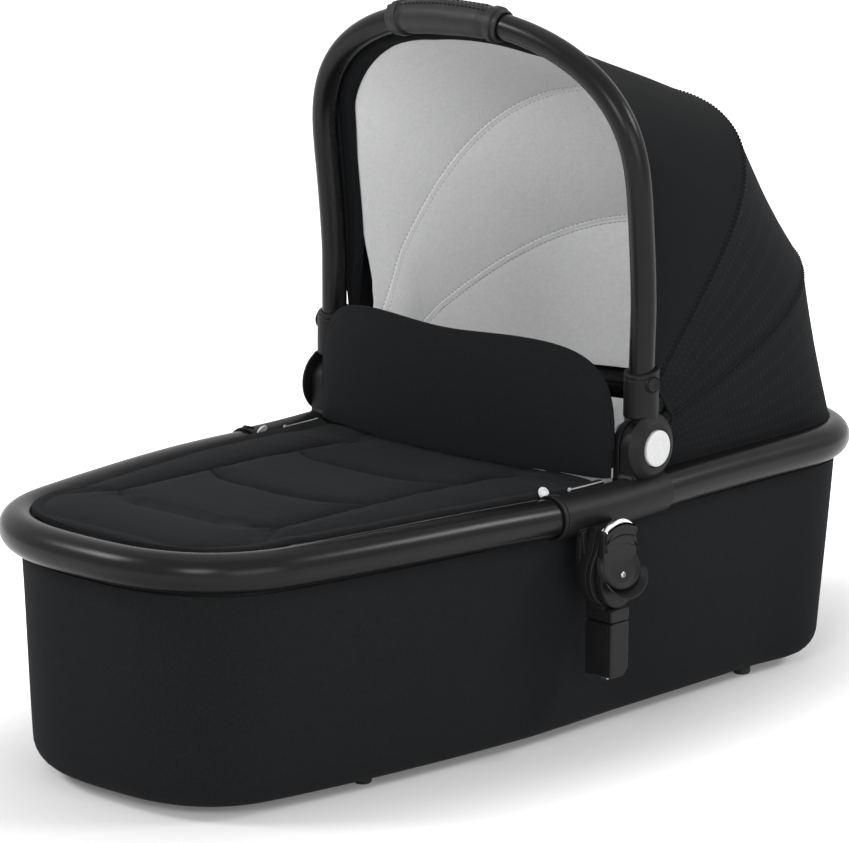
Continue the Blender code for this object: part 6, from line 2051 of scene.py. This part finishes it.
def dress_adapter_body(side, label):
    drum = arc_points(ADAPTER_X, ADAPTER_HEIGHT, DRUM_RADIUS, 140, 400, 60)
    drum += [
        Vector((ADAPTER_X + DRUM_BLOCK_HALF_WIDTH, DRUM_BLOCK_TOP)),
        Vector((ADAPTER_X - DRUM_BLOCK_HALF_WIDTH, DRUM_BLOCK_TOP)),
    ]
    third = (DRUM_OUTER - DRUM_INNER) / 3
    parting = DRUM_INNER + 2 * third
    layers = soft_layers(DRUM_INNER, parting - DRUM_GROOVE_WIDTH, DRUM_INNER_EDGE)[:-1]
    layers += [(DRUM_GROOVE_DEPTH, parting - DRUM_GROOVE_WIDTH), (DRUM_GROOVE_DEPTH, parting)]
    layers += soft_layers(parting, DRUM_OUTER, MOULD_EDGE)[1:]
    meshes = [pressed_mesh("drum", drum, layers, side)]
    plug = plug_outline(PLUG_JOINT + PLUG_UPPER_GAP, PLUG_TOP, 0)
    meshes.append(pressed_mesh("plug", plug, plug_layers(), side))
    neck = plug_outline(PLUG_TOP - PLUG_OVERLAP, ADAPTER_HEIGHT - DRUM_RADIUS / 2, 0)
    meshes.append(block_mesh("neck", neck, PLUG_INNER, DRUM_OUTER - GAP, MOULD_EDGE, side))
    mesh = join_meshes("adapter_drum", meshes)
    piece("adapter_drum_" + label, mesh, "moulded_black", "tub", ["adapter_body_" + label])
    tip_outline = plug_outline(PLUG_BOTTOM, PLUG_JOINT - PLUG_LOWER_GAP, PLUG_CHAMFER)
    tip = pressed_mesh("plug_tip", tip_outline, plug_layers(), side)
    piece("plug_end_" + label, tip, "moulded_black", "tub", ["plug_tip_" + label])


def oval_points(half_width, half_height, start, end, steps, lift=0):
    """Points of an oval about the screw, with angles in degrees counted from +X."""
    points = []
    for angle in spaced(math.radians(start), math.radians(end), steps):
        x = ADAPTER_X + half_width * math.cos(angle)
        points.append(Vector((x, ADAPTER_HEIGHT + lift + half_height * math.sin(angle))))
    return points


def oval_outline(half_width, half_height, lift=0):
    return oval_points(half_width, half_height, 0, 360, 72, lift)[:-1]


def slide_outline():
    """Round below and straight above, with an arched top."""
    shoulder = ADAPTER_HEIGHT + SLIDE_SHOULDER
    outline = oval_points(SLIDE_FOOT_HALF_WIDTH, SLIDE_FOOT_DEPTH, 168, 372, 50)
    outline += rounded(
        [(outline[-1].x, outline[-1].y), (ADAPTER_X + SLIDE_HALF_WIDTH, shoulder, 0.008),
         (ADAPTER_X + SLIDE_HALF_WIDTH, SLIDE_TOP - SLIDE_ARCH - 0.002)], 0.004)[1:]
    outline += arched_top(SLIDE_HALF_WIDTH, SLIDE_TOP, SLIDE_ARCH, 14)
    first = outline[0]
    outline += rounded(
        [(ADAPTER_X - SLIDE_HALF_WIDTH, SLIDE_TOP - SLIDE_ARCH - 0.002),
         (ADAPTER_X - SLIDE_HALF_WIDTH, shoulder, 0.008), (first.x, first.y)], 0.004)[:-1]
    return outline


def scoop_depth(height):
    """How far the scooped face stands out: it slopes outwards towards the fingers."""
    low = ADAPTER_HEIGHT + SCOOP_LIFT - SCOOP_HALF_HEIGHT
    share = smooth_share(height, low + 1.9 * SCOOP_HALF_HEIGHT, low)
    return SCOOP_PROUD * share - SCOOP_SUNK * (1 - share)


def dress_slide(side, label):
    """Release slide: brow, sloping scoop with a raised edge, and a hood-like lip."""
    body = "release_slide_" + label
    face = SLIDE_OUTER - SLIDE_SETBACK
    meshes = [block_mesh("slide", slide_outline(), SLIDE_INNER, face, SLIDE_EDGE, side)]
    scoop = []
    for inset, depth in SCOOP_SECTION:
        outline = oval_outline(SCOOP_HALF_WIDTH - inset, SCOOP_HALF_HEIGHT - inset, SCOOP_LIFT)
        scoop.append([Vector((p.x, side * (SLIDE_OUTER + depth + scoop_depth(p.y)), p.y)) for p in outline])
    meshes.append(ring_mesh("scoop", scoop))
    for low, high, proud in BROW_BANDS:
        outline = arched_top(SLIDE_HALF_WIDTH - SLIDE_EDGE, SLIDE_TOP - high, SLIDE_ARCH, 20)
        outline += arched_top(SLIDE_HALF_WIDTH - SLIDE_EDGE, SLIDE_TOP - low, SLIDE_ARCH, 20)[::-1]
        outline = rounded([(p.x, p.y) for p in outline], BROW_ROUNDING, closed=True)
        inner = SLIDE_OUTER - BROW_DEPTH
        meshes.append(block_mesh("brow", outline, inner, SLIDE_OUTER + proud, MOULD_EDGE, side))
    meshes.append(lip_mesh(side))
    mesh = join_meshes("slide_body", meshes)
    piece("slide_body_" + label, mesh, "moulded_black", body, ["release_slide_" + label])
    outline = arched_top(TRIM_HALF_WIDTH, SLIDE_TOP + GAP + TRIM_THICKNESS, TRIM_ARCH, 24)
    outline += arched_top(TRIM_HALF_WIDTH, SLIDE_TOP + GAP, SLIDE_ARCH, 24)[1:-1][::-1]
    end = SLIDE_OUTER - TRIM_SETBACK
    layers = [(inset, end - TRIM_DEPTH + rise) for inset, rise in TRIM_INNER_LAYERS]
    layers += [(inset, end - drop) for inset, drop in TRIM_OUTER_LAYERS]
    mesh = pressed_mesh("trim", outline, layers, side)
    piece("slide_trim_" + label, mesh, "chrome", body, ["release_trim_" + label])
    seat = SLIDE_OUTER + scoop_depth(ADAPTER_HEIGHT) - SCREW_SEAT_DEPTH
    screw = [(SCREW_RADIUS * share, seat + rise, *bend) for share, rise, *bend in SCREW_SECTION]
    profile = rounded(screw, SCREW_ROUNDING)
    mesh = turned_mesh("screw", (ADAPTER_X, 0, ADAPTER_HEIGHT), (0, side, 0), profile, SCREW_SIDES)
    piece("slide_bolt_" + label, mesh, "steel", body, ["slide_screw_" + label])


def lip_mesh(side):
    """Hood for the fingers round the slide's lower end."""
    rings = []
    low_turn, high_turn = LIP_TURNS
    for step, angle in enumerate(spaced(math.radians(low_turn), math.radians(high_turn), LIP_STEPS)):
        rise_share = math.sin(math.pi * (step + 0.5) / (LIP_STEPS + 1)) ** LIP_RISE_POWER
        root = SLIDE_OUTER - LIP_ROOT_DEPTH
        tip = SLIDE_OUTER + LIP_PROUD * rise_share
        ring = []
        for face in (1, -1):
            for share in spaced(0, 1, LIP_WALL_STEPS)[::face]:
                reach = share ** LIP_REACH_POWER
                wide = LIP_ROOT[0] + (LIP_TIP[0] - LIP_ROOT[0]) * reach
                high = LIP_ROOT[1] + (LIP_TIP[1] - LIP_ROOT[1]) * reach
                half = LIP_WALL / 2 * (1 - LIP_THINNING_SHARE * share ** LIP_THINNING_POWER) * face
                ring.append((wide + half, high + half, root + (tip - root) * share))
        placed = []
        for wide, high, y in ring:
            x = ADAPTER_X + wide * math.cos(angle)
            placed.append(Vector((x, side * y, ADAPTER_HEIGHT + high * math.sin(angle))))
        rings.append(placed)
    return ring_mesh("lip", rings)


# Nodes whose own shape is right


def dress_nodes():
    for name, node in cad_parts.items():
        if node.hide_render:
            continue
        for number, held in enumerate(node.material_slots):
            slot = held.material.name.split(".")[0] if held.material else ""
            if slot in LOOKS:
                node.material_slots[number].material = LOOKS[slot]


# Stage, light and camera


def stage_material(name, colour):
    """A pale surface with the object's shadow near it, shown as plain white further out."""
    material = bpy.data.materials.new(name)
    material.use_nodes = True
    tree = material.node_tree
    shader = tree.nodes["Principled BSDF"]
    shader.inputs["Base Color"].default_value = (*colour, 1)
    shader.inputs["Roughness"].default_value = 0.9
    shader.inputs["Specular IOR Level"].default_value = 0.0
    shader.inputs["Emission Color"].default_value = (1, 1, 1, 1)
    place = tree.nodes.new("ShaderNodeTexCoord")
    scaled = tree.nodes.new("ShaderNodeMapping")
    scaled.inputs["Scale"].default_value = (1 / HEAD_END, 1 / RIM_HALF_WIDTH, 0)
    tree.links.new(place.outputs["Object"], scaled.inputs["Vector"])
    reach = tree.nodes.new("ShaderNodeVectorMath")
    reach.operation = "LENGTH"
    tree.links.new(scaled.outputs[0], reach.inputs[0])
    fade = tree.nodes.new("ShaderNodeMapRange")
    fade.interpolation_type = "SMOOTHSTEP"
    fade.inputs["From Min"].default_value = GLOW_START
    fade.inputs["From Max"].default_value = GLOW_FULL
    fade.inputs["To Min"].default_value = GLOW_NEAR
    tree.links.new(reach.outputs["Value"], fade.inputs["Value"])
    shown = tree.nodes.new("ShaderNodeMath")
    shown.operation = "MULTIPLY"
    tree.links.new(fade.outputs[0], shown.inputs[0])
    tree.links.new(shown_level(tree, 0.0, 1.0), shown.inputs[1])
    tree.links.new(shown.outputs[0], shader.inputs["Emission Strength"])
    return material


def shown_level(tree, unseen, seen):
    """A value for what the camera, mirrors and glass see, and another for the light itself."""
    rays = tree.nodes.new("ShaderNodeLightPath")
    total = rays.outputs["Is Camera Ray"]
    for name in ("Is Glossy Ray", "Is Transmission Ray"):
        either = tree.nodes.new("ShaderNodeMath")
        either.operation = "MAXIMUM"
        tree.links.new(total, either.inputs[0])
        tree.links.new(rays.outputs[name], either.inputs[1])
        total = either.outputs[0]
    level = tree.nodes.new("ShaderNodeMapRange")
    level.inputs["To Min"].default_value = unseen
    level.inputs["To Max"].default_value = seen
    tree.links.new(total, level.inputs["Value"])
    return level.outputs[0]


def set_stage():
    half = 6
    mesh = bpy.data.meshes.new("floor")
    corners = [(-half, -half, 0), (half, -half, 0), (half, half, 0), (-half, half, 0)]
    mesh.from_pydata(corners, [], [(0, 1, 2, 3)])
    mesh.materials.append(stage_material("floor", (0.80, 0.80, 0.80)))
    floor = bpy.data.objects.new("floor", mesh)
    bpy.context.scene.collection.objects.link(floor)


def set_world(unseen, seen):
    """Even grey light, seen as a white surround."""
    world = bpy.data.worlds.new("studio")
    bpy.context.scene.world = world
    world.use_nodes = True
    tree = world.node_tree
    background = tree.nodes["Background"]
    background.inputs["Color"].default_value = (1, 1, 1, 1)
    tree.links.new(shown_level(tree, unseen, seen), background.inputs["Strength"])


def area_light(name, place, target, size, power):
    light = bpy.data.lights.new(name, "AREA")
    light.shape = "RECTANGLE"
    light.size, light.size_y = size
    light.energy = power
    lamp = bpy.data.objects.new(name, light)
    lamp.location = place
    lamp.rotation_euler = (Vector(target) - Vector(place)).to_track_quat("-Z", "Y").to_euler()
    bpy.context.scene.collection.objects.link(lamp)


def set_lights():
    for name, place, size, power in LAMPS:
        area_light(name, place, LAMP_TARGET, size, power)


def set_camera():
    turn, tilt, roll = CAMERA_AZIMUTH, CAMERA_ELEVATION, CAMERA_ROLL
    back = Vector((math.sin(turn) * math.cos(tilt), -math.cos(turn) * math.cos(tilt), math.sin(tilt)))
    right = Vector((math.cos(turn), math.sin(turn), 0))
    up = back.cross(right)
    rolled_right = right * math.cos(roll) + up * math.sin(roll)
    rolled_up = up * math.cos(roll) - right * math.sin(roll)
    lens = bpy.data.cameras.new("photo_camera")
    lens.sensor_fit = "HORIZONTAL"
    lens.sensor_width = SENSOR_WIDTH
    lens.lens = FOCAL_PIXELS * SENSOR_WIDTH / PHOTO_WIDTH
    lens.shift_x = (PHOTO_WIDTH / 2 - AXIS_PIXEL[0]) / PHOTO_WIDTH
    lens.shift_y = (AXIS_PIXEL[1] - PHOTO_HEIGHT / 2) / PHOTO_WIDTH
    lens.clip_end = 50
    camera = bpy.data.objects.new("photo_camera", lens)
    bpy.context.scene.collection.objects.link(camera)
    turned = Matrix((rolled_right, rolled_up, back)).transposed().to_4x4()
    camera.matrix_world = Matrix.Translation(Vector(CAMERA_PLACE)) @ turned
    bpy.context.scene.camera = camera


def main():
    dress_rim()
    dress_handle()
    dress_canopy()
    dress_shell()
    dress_cover()
    dress_lining()
    dress_mattress()
    dress_feet()
    dress_apron()
    dress_studs()
    dress_flap()
    for side, label in SIDES:
        dress_housing(side, label)
        dress_cap(side, label)
        dress_bracket(side, label)
        dress_adapter_body(side, label)
        dress_slide(side, label)
    dress_nodes()
    set_stage()
    set_world(0.35, 1.0)
    set_lights()
    set_camera()
    bpy.context.scene.view_settings.view_transform = "Standard"


main()
